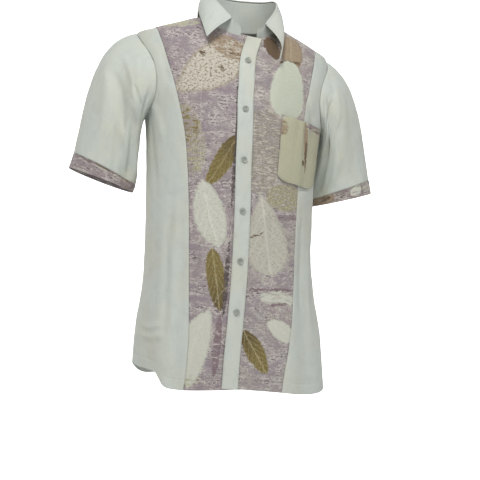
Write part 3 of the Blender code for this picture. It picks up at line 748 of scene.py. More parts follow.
class Patch:
    """Part of a surface with two shares, u across and v along."""

    facing = 1.0
    tube = False

    def place(self, u: Array, v: Array) -> Array:
        """Points at shares u and v."""
        raise NotImplementedError

    def chart(self, u: Array, v: Array) -> Array:
        """Flat place of the cloth at shares, in metres."""
        raise NotImplementedError

    def normal(self, u: Array, v: Array) -> Array:
        """Outward directions at shares.

        Args:
            u: Shares across.
            v: Shares along.

        Returns:
            Directions at length 1.
        """
        step = 0.0035
        left, right = (u - step, u + step)
        if not self.tube:
            left, right = np.clip(left, 0.0, 1.0), np.clip(right, 0.0, 1.0)
        across = self.place(right, v) - self.place(left, v)
        along = self.place(u, np.clip(v + step, 0.0, 1.0))
        along = along - self.place(u, np.clip(v - step, 0.0, 1.0))
        return unit(np.cross(across, along)) * self.facing


@dataclass
class BodyPatch(Patch):
    """Panel of the body between four edge lines."""

    body: Body
    left: Line
    right: Line
    bottom: Line
    top: Line
    facing: float = 1.0
    behind: bool = False

    def ruled(self, u: Array, v: Array) -> Array:
        """Points between the four edges, before they are drawn onto the body.

        Args:
            u: Shares across.
            v: Shares along.

        Returns:
            The points.
        """
        zero, one = np.zeros(1), np.ones(1)
        a, b = self.bottom(zero)[0], self.bottom(one)[0]
        c, d = self.top(zero)[0], self.top(one)[0]
        u1, v1 = spread(u), spread(v)
        between = self.left(v) * (1.0 - u1) + self.right(v) * u1
        stacked = self.bottom(u) * (1.0 - v1) + self.top(u) * v1
        low, high = a * (1.0 - u1) + b * u1, c * (1.0 - u1) + d * u1
        return between + stacked - low * (1.0 - v1) - high * v1

    def place(self, u: Array, v: Array) -> Array:
        """Points at shares, on the body."""
        spot = self.ruled(u, v)
        return self.body.settle(self.body.point(self.body.degrees_of(spot), spot[..., 2]))

    def chart(self, u: Array, v: Array) -> Array:
        """Metres round the body and level.

        Args:
            u: Shares across.
            v: Shares along.

        Returns:
            The flat places.
        """
        spot = self.ruled(u, v)
        degrees = self.body.degrees_of(spot)
        return np.stack([self.body.arc(degrees, spot[..., 2], self.behind), spot[..., 2]], -1)


@dataclass
class Cutter:
    """Cuts the panels of the body."""

    body: Body

    def hem_line(self, start: float, end: float) -> Line:
        """Hem between two angles.

        Args:
            start: Angle at its start.
            end: Angle at its end.

        Returns:
            The line.
        """

        def line(share: Array) -> Array:
            """Points of the hem at shares."""
            degrees = start + (end - start) * np.asarray(share, float)
            return self.body.point(degrees, self.body.hem_level(degrees))

        return line

    def seam(self, side: int) -> Line:
        """Front seam from the hem to the shoulder.

        Args:
            side: -1 for the wearer's right, 1 for the left.

        Returns:
            The line.
        """
        column = 0 if side < 0 else 2
        width = self.body.seam_half(side)

        def line(share: Array) -> Array:
            """Points of the seam at shares.

            Args:
                share: Shares of the way.

            Returns:
                The points.
            """
            found = self.body.front_line(column, share, RIDGE_Z)
            end = self.body.shoulder(side, width, width, np.zeros(1))[0]
            return np.where(spread(share > 0.9999), end, found)

        return line

    def pinned(self, line: Line, low: Array, high: Array) -> Line:
        """Line whose two ends are drawn to given points.

        Args:
            line: The line.
            low: Point at its start.
            high: Point at its end.

        Returns:
            The line.
        """
        start, end = line(np.zeros(1))[0], line(np.ones(1))[0]

        def moved(share: Array) -> Array:
            """Points of the line at shares."""
            u = spread(share)
            return line(share) + (low - start) * (1.0 - u) + (high - end) * u

        return moved

    def neck_front(self, side: int, share: Array) -> Array:
        """Front neckline from its front end at 0 to the side of the neck at 1.

        Args:
            side: -1 for the wearer's right, 1 for the left.
            share: Shares of the way.

        Returns:
            Points of the neckline.
        """
        x, level = self.body.neck.at(share)
        found = self.body.point(self.body.angle_at(x * side, level), level)
        end = self.body.point(np.array([side * 90.0]), np.zeros(1))[0]
        return np.where(spread(np.asarray(share) > 0.999), end, found)

    def print_panel(self, side: int) -> BodyPatch:
        """Front panel between the front edge and the front seam.

        Args:
            side: -1 for the wearer's right, 1 for the left.

        Returns:
            The panel.
        """
        edge = self.body.front_edge(UNDERLAP if side < 0 else UNDERLAP + 0.002)
        seam = self.seam(side)
        width = self.body.seam_half(side)

        def top(share: Array) -> Array:
            """Neckline, then the shoulder seam.

            Args:
                share: Shares of the way.

            Returns:
                The points.
            """
            start = edge(np.ones(1))[0] - self.neck_front(side, np.zeros(1))[0]
            share = np.asarray(share, float)
            pull = spread(np.maximum(0.0, 1.0 - share * 6.0))
            near = self.neck_front(side, np.minimum(share * 2.0, 1.0)) + start * pull
            far = self.body.shoulder(side, NECK_SIDE_X, width, np.maximum(share * 2.0 - 1.0, 0.0))
            return np.where(spread(share < 0.5), near, far)

        low, high = edge(np.zeros(1))[0], seam(np.zeros(1))[0]
        start = math.degrees(math.atan2((low[0] - 0.024) / 0.185, 1.0))
        end = float(self.body.angle_at(high[0], high[2]))
        bottom = self.pinned(self.hem_line(start, end), low, high)
        return BodyPatch(self.body, edge, seam, bottom, top, 1.0 if side > 0 else -1.0)

    def side_panel(self, side: int) -> BodyPatch:
        """Front side panel between the front seam, the side seam and the armhole.

        Args:
            side: -1 for the wearer's right, 1 for the left.

        Returns:
            The panel.
        """
        seam = self.seam(side)
        outer = self.body.outer_line(side, False)
        low, high = seam(np.zeros(1))[0], outer(np.zeros(1))[0]
        line = self.hem_line(float(self.body.angle_at(low[0], low[2])), side * 90.0)
        bottom = self.pinned(line, low, high)
        width, tip = self.body.seam_half(side), self.body.tip_half()

        def top(share: Array) -> Array:
            """Shoulder seam out to the tip."""
            return self.body.shoulder(side, width, tip, share)

        return BodyPatch(self.body, seam, outer, bottom, top, 1.0 if side > 0 else -1.0)

    def back_panel(self) -> BodyPatch:
        """Whole back from the wearer's right side seam to the left one.

        Returns:
            The panel.
        """
        tip = self.body.tip_half()

        def neck(share: Array) -> Array:
            """Back neckline from the right side of the neck to the left."""
            turn = 1.0 - np.abs(2.0 * share - 1.0)
            return self.body.point(-90.0 - 180.0 * share, NECK_BACK_Z * smooth(0.0, 1.0, turn))

        def top(share: Array) -> Array:
            """Both shoulder seams with the neckline between.

            Args:
                share: Shares of the way.

            Returns:
                The points.
            """
            share = np.asarray(share, float)
            near = np.minimum(share, 1.0 - share)
            found = neck(np.clip((share - BACK_NECK_SHARE) / (1.0 - 2.0 * BACK_NECK_SHARE), 0, 1))
            for side, here in ((-1, share < 0.5), (1, share >= 0.5)):
                width = self.body.seam_half(side)
                out = np.clip(near / BACK_SEAM_SHARE, 0.0, 1.0)
                into = (near - BACK_SEAM_SHARE) / (BACK_NECK_SHARE - BACK_SEAM_SHARE)
                far = self.body.shoulder(side, tip, width, out)
                close = self.body.shoulder(side, width, NECK_SIDE_X, np.clip(into, 0.0, 1.0))
                found = np.where(spread(here & (near < BACK_NECK_SHARE)), close, found)
                found = np.where(spread(here & (near < BACK_SEAM_SHARE)), far, found)
            return found

        outer = (self.body.outer_line(-1, True), self.body.outer_line(1, True))
        hem = self.hem_line(-90.0, -270.0)
        return BodyPatch(self.body, *outer, hem, top, -1.0, True)


@dataclass
class PlacketPatch(Patch):
    """Front band over both front edges, its free edge lifted at the open neck."""

    body: Body
    free_lift: float = 0.0008
    curl_lift: float = 0.006
    curl_from: float = -0.085
    curl_full: float = -0.035

    def place(self, u: Array, v: Array) -> Array:
        """Points at shares.

        Args:
            u: Shares across.
            v: Shares along.

        Returns:
            The points.
        """
        level = self.level(v)
        middle = self.body.cut.at(level)[1]
        spot = self.body.point(
            self.body.angle_at(middle + PLACKET_WIDTH * (u - 0.5), level), level
        )
        curl = smooth(self.curl_from, self.curl_full, level) * (1.0 - u) ** 2
        free = smooth(1.2, 0.2, u)
        lift = PLACKET_LIFT + self.free_lift * free + self.curl_lift * curl
        return self.body.settle(spot + stack(0.0, -lift, 0.0))

    def level(self, v: Array) -> Array:
        """Level of the band at shares of its length."""
        hem = self.body.hem_level(np.array(EDGE_DEGREES)) + 0.0006
        return self.body.levels(hem, NECK_FRONT_Z - 0.0005, v)

    def chart(self, u: Array, v: Array) -> Array:
        """Metres across the band and level."""
        return np.stack(np.broadcast_arrays(PLACKET_WIDTH * (u - 0.5), self.level(v)), -1)


@dataclass
class PocketPatch(Patch):
    """Chest pocket laid over the front seam, a little full in the middle."""

    body: Body
    corner_rise: float = 0.01
    crease_depth: float = 0.003
    fold_depth: float = 0.0014

    def flat(self, u: Array, v: Array) -> Array:
        """x and level at shares, with rounded lower corners.

        Args:
            u: Shares across.
            v: Shares along.

        Returns:
            The places.
        """
        corner = {name: np.array(place) for name, place in POCKET.items()}
        u1, v1 = spread(u), spread(v)
        low = corner["bottom_inner"] * (1.0 - u1) + corner["bottom_outer"] * u1
        high = corner["top_inner"] * (1.0 - u1) + corner["top_outer"] * u1
        found = low * (1.0 - v1) + high * v1
        rise = self.corner_rise * (np.abs(2.0 * u - 1.0) ** 6) * (1.0 - smooth(0.0, 0.2, v))
        return found + np.stack([0.0 * rise, rise], -1)

    def place(self, u: Array, v: Array) -> Array:
        """Points at shares.

        Args:
            u: Shares across.
            v: Shares along.

        Returns:
            The points.
        """
        x, level = np.moveaxis(self.flat(u, v), -1, 0)
        degrees = self.body.angle_at(x, level)
        spot = self.body.point(degrees, level)
        step = self.body.point(degrees + 0.5, level) - self.body.point(degrees - 0.5, level)
        out = unit(stack(step[..., 1], -step[..., 0], 0.0))
        full = POCKET_PUFF * np.sin(math.pi * np.clip(u, 0.0, 1.0)) * (0.35 + 0.65 * v)
        line = np.exp(-(((u - 0.62 + 0.08 * v) / 0.05) ** 2))
        crease = self.crease_depth * line * smooth(0.1, 0.6, v)
        line = np.exp(-(((u - 0.3 - 0.1 * v) / 0.06) ** 2))
        fold = self.fold_depth * line * smooth(0.3, 0.9, v)
        return self.body.settle(spot + out * spread(POCKET_LIFT + full - crease - fold))

    def chart(self, u: Array, v: Array) -> Array:
        """Metres round the body from the front middle, and level."""
        x, level = np.moveaxis(self.flat(u, v), -1, 0)
        return np.stack([self.body.arc(self.body.angle_at(x, level), level), level], -1)


@dataclass
class SleevePatch(Patch):
    """Sleeve tube between two shares of its length, with its folds and creases."""

    body: Body
    name: str
    start: float
    end: float
    lift: float = 0.0
    facing: float = 1.0
    tube: bool = True
    creases: CreaseMap | None = None

    def __post_init__(self) -> None:
        """Places the creases of this sleeve."""
        self.facing = float(SLEEVES[self.name][0])
        turns, shares = np.arange(0.0, 360.1, 0.8), np.arange(0.0, 1.001, 0.008)
        turn, share = np.meshgrid(turns, shares, indexing="ij")
        across, along = np.radians(turn) * SLEEVE_RADIUS, share * SLEEVE_LENGTH
        self.creases = CreaseMap(turns, shares, across, along)
        for height, width, lean, *places in SLEEVE_CREASES[self.name]:
            points = [
                (math.radians(a) * SLEEVE_RADIUS, b * SLEEVE_LENGTH)
                for a, b in zip(places[::2], places[1::2])
            ]
            self.creases.add(height, width, lean, points)

    def plain(self, turn: Array, share: Array) -> Array:
        """Tube from the armhole to the cuff ring without folds.

        Args:
            turn: Degrees round.
            share: Shares of the way.

        Returns:
            The points.
        """
        side, ring_x, ring_y, ring_z, half, depth, tilt, reach = SLEEVES[self.name]
        slope = math.radians(tilt)
        outer = np.array((side * math.cos(slope), 0.0, math.sin(slope)))
        down = np.array((side * math.sin(slope), 0.0, -math.cos(slope)))
        angle = np.radians(turn)
        over, fore = np.cos(angle), np.sin(angle)
        first = self.body.armhole(side, turn)
        last = np.array((ring_x, ring_y, ring_z)) + outer * spread(half * over)
        last = last + stack(0.0, -depth * fore, 0.0)
        leave = unit(stack(side, -0.12 * fore, -(0.46 - 0.2 * over)))
        pull = 0.5 * (reach + 0.06) + 0.5 * (reach - 0.06) * over
        push = 0.19 + 0.06 * over
        t = spread(share)
        spot = first * (1.0 + 2.0 * t) * (1.0 - t) ** 2 + last * t * t * (3.0 - 2.0 * t)
        spot = spot + leave * spread(pull) * t * (1.0 - t) ** 2
        return spot - down * spread(push) * t * t * (1.0 - t)

    def folds(self, turn: Array, share: Array) -> Array:
        """Height of the folds and creases at a turn and a share of the length.

        Args:
            turn: Degrees round.
            share: Shares of the way.

        Returns:
            The height, in metres.
        """
        around = turn % 360.0
        total = np.zeros(np.broadcast(turn, share).shape)
        for height, width, turn_a, share_a, turn_b, share_b in SLEEVE_FOLDS[self.name]:
            along = (share - share_a) / (share_b - share_a)
            middle = turn_a + (turn_b - turn_a) * np.clip(along, 0.0, 1.0)
            fade = 0.7 if share_b >= 0.99 else 1.0
            weight = smooth(-0.25, 0.3, along) * (1.0 - fade * smooth(0.75, 1.2, along))
            total = total + height * weight * np.exp(-(((around - middle) / width) ** 2))
        near = smooth(0.0, 0.12, share)
        return total * near + self.creases.at(around, share) * smooth(0.0, 0.05, share)

    def turn_share(self, u: Array, v: Array) -> tuple[Array, Array]:
        """Turn and share of the whole length at shares of this piece."""
        return 360.0 * np.asarray(u) + 180.0, self.start + (self.end - self.start) * v

    def place(self, u: Array, v: Array) -> Array:
        """Points at shares.

        Args:
            u: Shares across.
            v: Shares along.

        Returns:
            The points.
        """
        turn, share = np.broadcast_arrays(*self.turn_share(u, v))
        spot = self.plain(turn, share)
        ahead, before = np.minimum(1.0, share + 0.01), np.maximum(0.0, share - 0.01)
        along = self.plain(turn, ahead) - self.plain(turn, before)
        around = self.plain(turn + 1.0, share) - self.plain(turn - 1.0, share)
        out = unit(np.cross(around, along)) * self.facing
        return self.body.settle(spot + out * spread(self.lift + self.folds(turn, share)))

    def chart(self, u: Array, v: Array) -> Array:
        """Metres round the sleeve and along it."""
        turn, share = np.broadcast_arrays(*self.turn_share(u, v))
        return np.stack([np.radians(turn - 180.0) * SLEEVE_RADIUS, share * SLEEVE_LENGTH], -1)


def through(points: Array, share: Array) -> Array:
    """Points on the soft line through evenly counted points.

    Args:
        points: The points that the line passes.
        share: Shares of the way along it.

    Returns:
        Points at the shares.
    """
    place = np.clip(np.asarray(share, float), 0.0, 1.0) * (len(points) - 1)
    index = np.minimum(place.astype(int), len(points) - 2)
    t = spread(place - index)
    first, last = 2.0 * points[0] - points[1], 2.0 * points[-1] - points[-2]
    padded = np.concatenate([[first], points, [last]])
    before, here = padded[index], padded[index + 1]
    there, after = padded[index + 2], padded[index + 3]
    bend = (there - before) * 0.5 * t * (1.0 - t) ** 2 - (after - here) * 0.5 * t * t * (1.0 - t)
    return here * (1.0 + 2.0 * t) * (1.0 - t) ** 2 + there * t * t * (3.0 - 2.0 * t) + bend


@dataclass
class CollarLines:
    """Foot, fold and lower edge of the collar."""

    body: Body

    def neck_point(self, x: float, level: float, y: float) -> Array:
        """Point of the body at an x and a level, in front or behind.

        Args:
            x: Place across.
            level: Height, in metres.
            y: Depth, which tells front from back.

        Returns:
            The point.
        """
        degrees = float(self.body.angle_at(np.array(x), np.array(level)))
        if y > 0.03:
            degrees = 180.0 - degrees
        return self.body.point(np.array([degrees]), np.array([level]))[0]

    def feet(self) -> Array:
        """Points where the collar meets the neckline."""
        return np.array([self.neck_point(row[0], row[1], row[6]) for row in COLLAR])

    def folds(self) -> Array:
        """Points of the fold."""
        return np.array([row[2:5] for row in COLLAR])

    def edges(self) -> Array:
        """Points of the lower edge."""
        return np.array([row[5:8] for row in COLLAR])


@dataclass
class StandPatch(Patch):
    """Band that stands on the neckline, open at the front."""

    lines: CollarLines
    facing: float = -1.0
    neckline: Array | None = None
    sunk: float = 0.0008
    end_drop: float = 0.004
    probes: int = 700

    def __post_init__(self) -> None:
        """Takes the back neckline, which the foot follows."""
        back = Cutter(self.lines.body).back_panel()
        self.neckline = back.place(np.linspace(0.0, 1.0, self.probes), np.ones(self.probes))

    def sewn(self, foot: Array) -> Array:
        """Way from points of the foot to the back neckline, none in front of the shoulders.

        Args:
            foot: Points of the foot.

        Returns:
            The ways.
        """
        flat = foot.reshape(-1, 3)
        nearest = [np.argmin(((self.neckline - point) ** 2).sum(-1)) for point in flat]
        way = self.neckline[nearest] - np.array((0.0, 0.0008, 0.0012)) - flat
        return (way * spread(smooth(0.0, 0.012, flat[:, 1]))).reshape(foot.shape)

    def place(self, u: Array, v: Array) -> Array:
        """Points at shares.

        Args:
            u: Shares across.
            v: Shares along.

        Returns:
            The points.
        """
        ends = [self.lines.neck_point(row[0], row[1], -1.0) for row in STAND_ENDS]
        feet = np.concatenate([[ends[0]], self.lines.feet(), [ends[1]]])
        tops = np.concatenate([[STAND_ENDS[0][2:]], self.lines.folds(), [STAND_ENDS[1][2:]]])
        foot, top = through(feet, u), through(tops, u)
        away = unit(stack(top[..., 0], top[..., 1] - 0.004, 0.0))
        top = top - np.array((0.0, 0.0, STAND_DROP)) + away * WALL
        foot = foot - unit(top - foot) * STAND_TUCK - away * self.sunk
        low = self.end_drop * (np.abs(2.0 * u - 1.0) ** 18) * v
        spot = foot * (1.0 - spread(v)) + top * spread(v)
        spot = self.lines.body.settle(spot - upward(low))
        shares, place = np.unique(np.broadcast_to(u, spot.shape[:-1]), return_inverse=True)
        foot = self.lines.body.settle(through(feet, shares))
        way = self.sewn(foot)[place.reshape(spot.shape[:-1])]
        return spot + way * spread(smooth(0.7, 0.0, v))

    def chart(self, u: Array, v: Array) -> Array:
        """Metres along the band and up it."""
        return np.stack(np.broadcast_arrays(0.4 * u, 0.04 * v), -1)


@dataclass
class FallPatch(Patch):
    """Outer collar from the fold over the band down to its points."""

    lines: CollarLines
    roll: float = 0.3
    clear: float = 0.0004
    fullness: float = 0.0035
    back_drop: float = 0.006

    def place(self, u: Array, v: Array) -> Array:
        """Points at shares.

        Args:
            u: Shares across.
            v: Shares along.

        Returns:
            The points.
        """
        folds, edges = self.lines.folds(), self.lines.edges()
        fold, edge = through(folds, u), through(edges, u)
        ahead = through(folds, u + 0.01) - through(folds, u - 0.01)
        away = unit(stack(-ahead[..., 1], ahead[..., 0], 0.0))
        turn = math.pi * np.clip(v / self.roll, 0.0, 1.0)
        over = FOLD_REACH * 0.5 * (1.0 - np.cos(turn))
        up = FOLD_RISE * np.sin(turn) + self.clear
        near = fold + away * spread(over) + upward(up)
        share = np.clip((v - self.roll) / (1.0 - self.roll), 0.0, 1.0)
        wave = np.sin(math.pi * share)
        start = fold + away * FOLD_REACH + np.array((0.0, 0.0, self.clear))
        bow = LEAF_BOW * smooth(0.84, 1.0, u) * wave
        behind = self.back_drop * smooth(0.26, 0.36, u) * smooth(0.74, 0.64, u) * share
        far = start * (1.0 - spread(share)) + edge * spread(share)
        far = far + away * spread(0.25 * behind) - upward(behind)
        far = far + away * spread(self.fullness * wave) + stack(bow, 0.0, 0.0)
        return self.lines.body.settle(np.where(spread(v < self.roll), near, far))

    def chart(self, u: Array, v: Array) -> Array:
        """Metres along the collar and down it."""
        return np.stack(np.broadcast_arrays(0.44 * u, 0.06 * v), -1)


class Wire:
    """Value of a shader socket, with sums and products written as in Python."""

    def __init__(self, tree: bpy.types.NodeTree, socket: bpy.types.NodeSocket) -> None:
        """Keeps the tree and the socket."""
        self.tree, self.socket = tree, socket

    def math(
        self, operation: str, *others: Wire | float, first: Wire | float | None = None
    ) -> Wire:
        """Adds a Math node.

        Args:
            operation: The node's operation.
            others: Its second and third values.
            first: What takes the place of this value as the first.

        Returns:
            The result.
        """
        node = self.tree.nodes.new("ShaderNodeMath")
        node.operation = operation
        for index, value in enumerate((self if first is None else first, *others)):
            if isinstance(value, Wire):
                self.tree.links.new(value.socket, node.inputs[index])
            else:
                node.inputs[index].default_value = value
        return Wire(self.tree, node.outputs[0])

    def __add__(self, other: Wire | float) -> Wire:
        """Sum."""
        return self.math("ADD", other)

    __radd__ = __add__

    def __sub__(self, other: Wire | float) -> Wire:
        """Difference."""
        return self.math("SUBTRACT", other)

    def __rsub__(self, other: Wire | float) -> Wire:
        """Difference from another value."""
        return self.math("SUBTRACT", self, first=other)

    def __mul__(self, other: Wire | float) -> Wire:
        """Product."""
        return self.math("MULTIPLY", other)

    __rmul__ = __mul__

    def __pow__(self, other: Wire | float) -> Wire:
        """Power."""
        return self.math("POWER", other)

    def __abs__(self) -> Wire:
        """Size without sign."""
        return self.math("ABSOLUTE")

    def most(self, other: Wire | float) -> Wire:
        """Larger of two values."""
        return self.math("MAXIMUM", other)

    def wave(self) -> Wire:
        """Sine."""
        return self.math("SINE")


Value = Wire | float | tuple


class ShaderKit:
    """Builds one material's nodes."""

    def __init__(self, name: str) -> None:
        """Starts a material with an empty Principled shader.

        Args:
            name: Name of the material.
        """
        self.material = bpy.data.materials.new(name)
        self.material.use_nodes = True
        self.tree = self.material.node_tree
        self.shader = self.tree.nodes["Principled BSDF"]

    def node(self, kind: str, settings: dict, inputs: dict[str | int, Value]) -> bpy.types.Node:
        """Adds a node.

        Args:
            kind: Type of the node.
            settings: Its settings, with stops for a ramp.
            inputs: Values or links of its sockets.

        Returns:
            The node.
        """
        node = self.tree.nodes.new(kind)
        for key, value in settings.items():
            if key == "stops":
                self.stops(node.color_ramp, value)
            else:
                setattr(node, key, value)
        for key, value in inputs.items():
            if isinstance(value, Wire):
                self.tree.links.new(value.socket, node.inputs[key])
            else:
                node.inputs[key].default_value = value
        return node

    def stops(self, ramp: bpy.types.ColorRamp, stops: Sequence[tuple[float, tuple]]) -> None:
        """Sets the stops of a colour ramp.

        Args:
            ramp: The ramp.
            stops: Place and colour of each.
        """
        while len(ramp.elements) < len(stops):
            ramp.elements.new(0.5)
        for element, (place, colour) in zip(ramp.elements, stops):
            element.position = place
            element.color = colour

    def wire(self, node: bpy.types.Node, output: str | int = 0) -> Wire:
        """Output of a node."""
        return Wire(self.tree, node.outputs[output])

    def chart(self) -> Wire:
        """Flat place of the cloth, in metres."""
        return self.wire(self.node("ShaderNodeUVMap", {"uv_map": "cloth"}, {}))

    def measure(self, name: str) -> Wire:
        """Attribute of the piece."""
        return self.wire(self.node("ShaderNodeAttribute", {"attribute_name": name}, {}), "Fac")

    def moved(self, vector: Wire, shift: Wire | tuple) -> Wire:
        """Vector moved by another."""
        made = self.node("ShaderNodeVectorMath", {"operation": "ADD"}, {0: vector, 1: shift})
        return self.wire(made)

    def scaled(self, vector: Wire, scale: tuple) -> Wire:
        """Vector scaled along each axis."""
        made = self.node("ShaderNodeVectorMath", {"operation": "MULTIPLY"}, {0: vector, 1: scale})
        return self.wire(made)

    def noise(self, vector: Wire, scale: float, detail: float = 3.0, rough: float = 0.55) -> Wire:
        """Soft noise from 0 to 1."""
        inputs = {"Vector": vector, "Scale": scale, "Detail": detail, "Roughness": rough}
        return self.wire(self.node("ShaderNodeTexNoise", {}, inputs), "Fac")

    def rise(self, value: Wire, low: float, high: float, to: float = 1.0) -> Wire:
        """Soft step from 0 below low to a value above high.

        Args:
            value: What is read.
            low: Where the step starts.
            high: Where it ends; below low for a falling step.
            to: Its height.

        Returns:
            The step.
        """
        inputs: dict[str | int, Value] = {"Value": value, "To Min": 0.0, "To Max": to}
        if low < high:
            inputs.update({"From Min": low, "From Max": high})
        else:
            inputs.update({"From Min": high, "From Max": low, "To Min": to, "To Max": 0.0})
        settings = {"interpolation_type": "SMOOTHSTEP"}
        return self.wire(self.node("ShaderNodeMapRange", settings, inputs))

    def mix(self, first: Wire | tuple, second: Wire | tuple, share: Wire | float) -> Wire:
        """Colour between two colours."""
        made = self.node("ShaderNodeMix", {"data_type": "RGBA"}, {0: share, 6: first, 7: second})
        return self.wire(made, 2)

    def shaded(self, colour: Wire | tuple, level: Wire) -> Wire:
        """Colour made darker or lighter by a level.

        Args:
            colour: The colour.
            level: 1 where it stays as it is.

        Returns:
            The changed colour.
        """
        grey = self.wire(self.node("ShaderNodeCombineXYZ", {}, {0: level, 1: level, 2: level}))
        settings = {"data_type": "RGBA", "blend_type": "MULTIPLY"}
        return self.wire(self.node("ShaderNodeMix", settings, {0: 1.0, 6: colour, 7: grey}), 2)

    def finish(self, colour: Wire | tuple, rough: Wire | float, height: Wire, deep: float) -> None:
        """Feeds the shader.

        Args:
            colour: Base colour.
            rough: Roughness.
            height: Relief, in metres times the depth.
            deep: Depth of the relief, in metres.
        """
        bump = self.node(
            "ShaderNodeBump", {}, {"Strength": 1.0, "Distance": deep, "Height": height}
        )
        links = ((colour, "Base Color"), (rough, "Roughness"), (self.wire(bump), "Normal"))
        for value, key in links:
            if isinstance(value, Wire):
                self.tree.links.new(value.socket, self.shader.inputs[key])
            else:
                self.shader.inputs[key].default_value = value


def placed(
    name: str, mesh: bmesh.types.BMesh, material: bpy.types.Material
) -> bpy.types.Object:
    """Turns a mesh into an object at the origin.

    Args:
        name: Name of the object.
        mesh: Its mesh, which is used up.
        material: Its material.

    Returns:
        The object.
    """
    data = bpy.data.meshes.new(name)
    mesh.to_mesh(data)
    mesh.free()
    data.materials.append(material)
    piece = bpy.data.objects.new(name, data)
    bpy.context.scene.collection.objects.link(piece)
    return piece


def tone(red: float, green: float, blue: float) -> tuple[float, float, float, float]:
    """Linear colour from a display colour counted from 0 to 255."""
    parts = [value / 255.0 for value in (red, green, blue)]
    return (*(p / 12.92 if p <= 0.04045 else ((p + 0.055) / 1.055) ** 2.4 for p in parts), 1.0)


@dataclass(frozen=True)
class Linen:
    """Plain slub cloth: pale grey-green with faint thick threads both ways, and painted shade along
    its seams and hems.
    """

    name: str = "plain_linen"
    colour: tuple = tone(195, 201, 194)
    warm: tuple = tone(198, 198, 184)
    shade: tuple = tone(180, 187, 182)

    def make(self) -> bpy.types.Material:
        """Material of the plain cloth.

        Returns:
            The material.
        """
        kit = ShaderKit(self.name)
        chart = kit.chart()
        warp = kit.noise(kit.scaled(chart, (1100.0, 36.0, 1.0)), 1.0, 2.0)
        weft = kit.noise(kit.scaled(chart, (40.0, 1100.0, 1.0)), 1.0, 2.0)
        broad = kit.noise(kit.scaled(chart, (12.0, 7.0, 1.0)), 1.0, 3.0)
        cloud = kit.noise(kit.scaled(chart, (70.0, 40.0, 1.0)), 1.0, 3.0)
        slub = (warp + weft) * 0.5
        colour = kit.mix(self.colour, self.warm, kit.rise(broad, 0.4, 0.66, 0.8))
        colour = kit.mix(colour, self.shade, kit.rise(cloud, 0.46, 0.74, 0.4))
        # Painted shade: the cloth darkens towards its seams and hem grooves, read from the edge
        # attribute.
        seam = kit.rise(kit.measure("edge"), 0.0026, 0.0, 0.05)
        colour = kit.shaded(colour, 0.86 + 0.28 * slub - seam)
        height = 0.55 * self.weave(kit, chart) + 1.1 * slub
        kit.shader.inputs["Sheen Weight"].default_value = 0.1
        kit.shader.inputs["Sheen Roughness"].default_value = 0.6
        kit.shader.inputs["Specular IOR Level"].default_value = 0.2
        kit.finish(colour, 0.8 + 0.12 * slub, height, 0.00018)
        return kit.material

    def weave(self, kit: ShaderKit, chart: Wire) -> Wire:
        """Plain weave of threads about 0.6 mm apart.

        Args:
            kit: The material's nodes.
            chart: Flat place of the cloth.

        Returns:
            Its height, from 0 to 1.
        """
        parts = kit.node("ShaderNodeSeparateXYZ", {}, {0: chart})
        x, y = kit.wire(parts, 0), kit.wire(parts, 1)
        pitch = math.tau / 0.0012
        across, along = (x * pitch).wave(), (y * pitch).wave()
        return 0.5 + 0.5 * across * along


class LeafTone(Enum):
    """Colours of a leaf print and of painted shadow marks laid like it: their body, mottling and
    veins.
    """

    IVORY = (tone(200, 201, 188), tone(176, 176, 164), tone(218, 217, 206))
    CREAM = (tone(198, 192, 180), tone(122, 104, 78), tone(216, 210, 198))
    BROWN = (tone(156, 139, 116), tone(112, 94, 74), tone(176, 160, 136))
    UMBER = (tone(100, 82, 62), tone(72, 60, 48), tone(130, 112, 88))
    GOLD = (tone(150, 144, 116), tone(196, 191, 168), tone(128, 118, 76))
    OLIVE = (tone(117, 103, 59), tone(144, 132, 89), tone(178, 168, 130))
    # Painted shadow beside the front band's free edge.
    PLUM = (tone(84, 76, 75), tone(116, 106, 106), tone(74, 66, 66))
    DUSK = (tone(86, 72, 46), tone(120, 104, 62), tone(150, 138, 98))
    BEIGE = (tone(179, 178, 152), tone(190, 190, 168), tone(164, 162, 132))
    SAGE = (tone(189, 194, 177), tone(200, 203, 188), tone(176, 182, 164))
    MAUVE = (tone(126, 108, 112), tone(148, 130, 134), tone(112, 94, 98))
    PALE = (tone(187, 185, 173), tone(160, 153, 140), tone(208, 205, 194))
    SCALE = (tone(182, 176, 163), tone(114, 104, 94), tone(202, 197, 186))


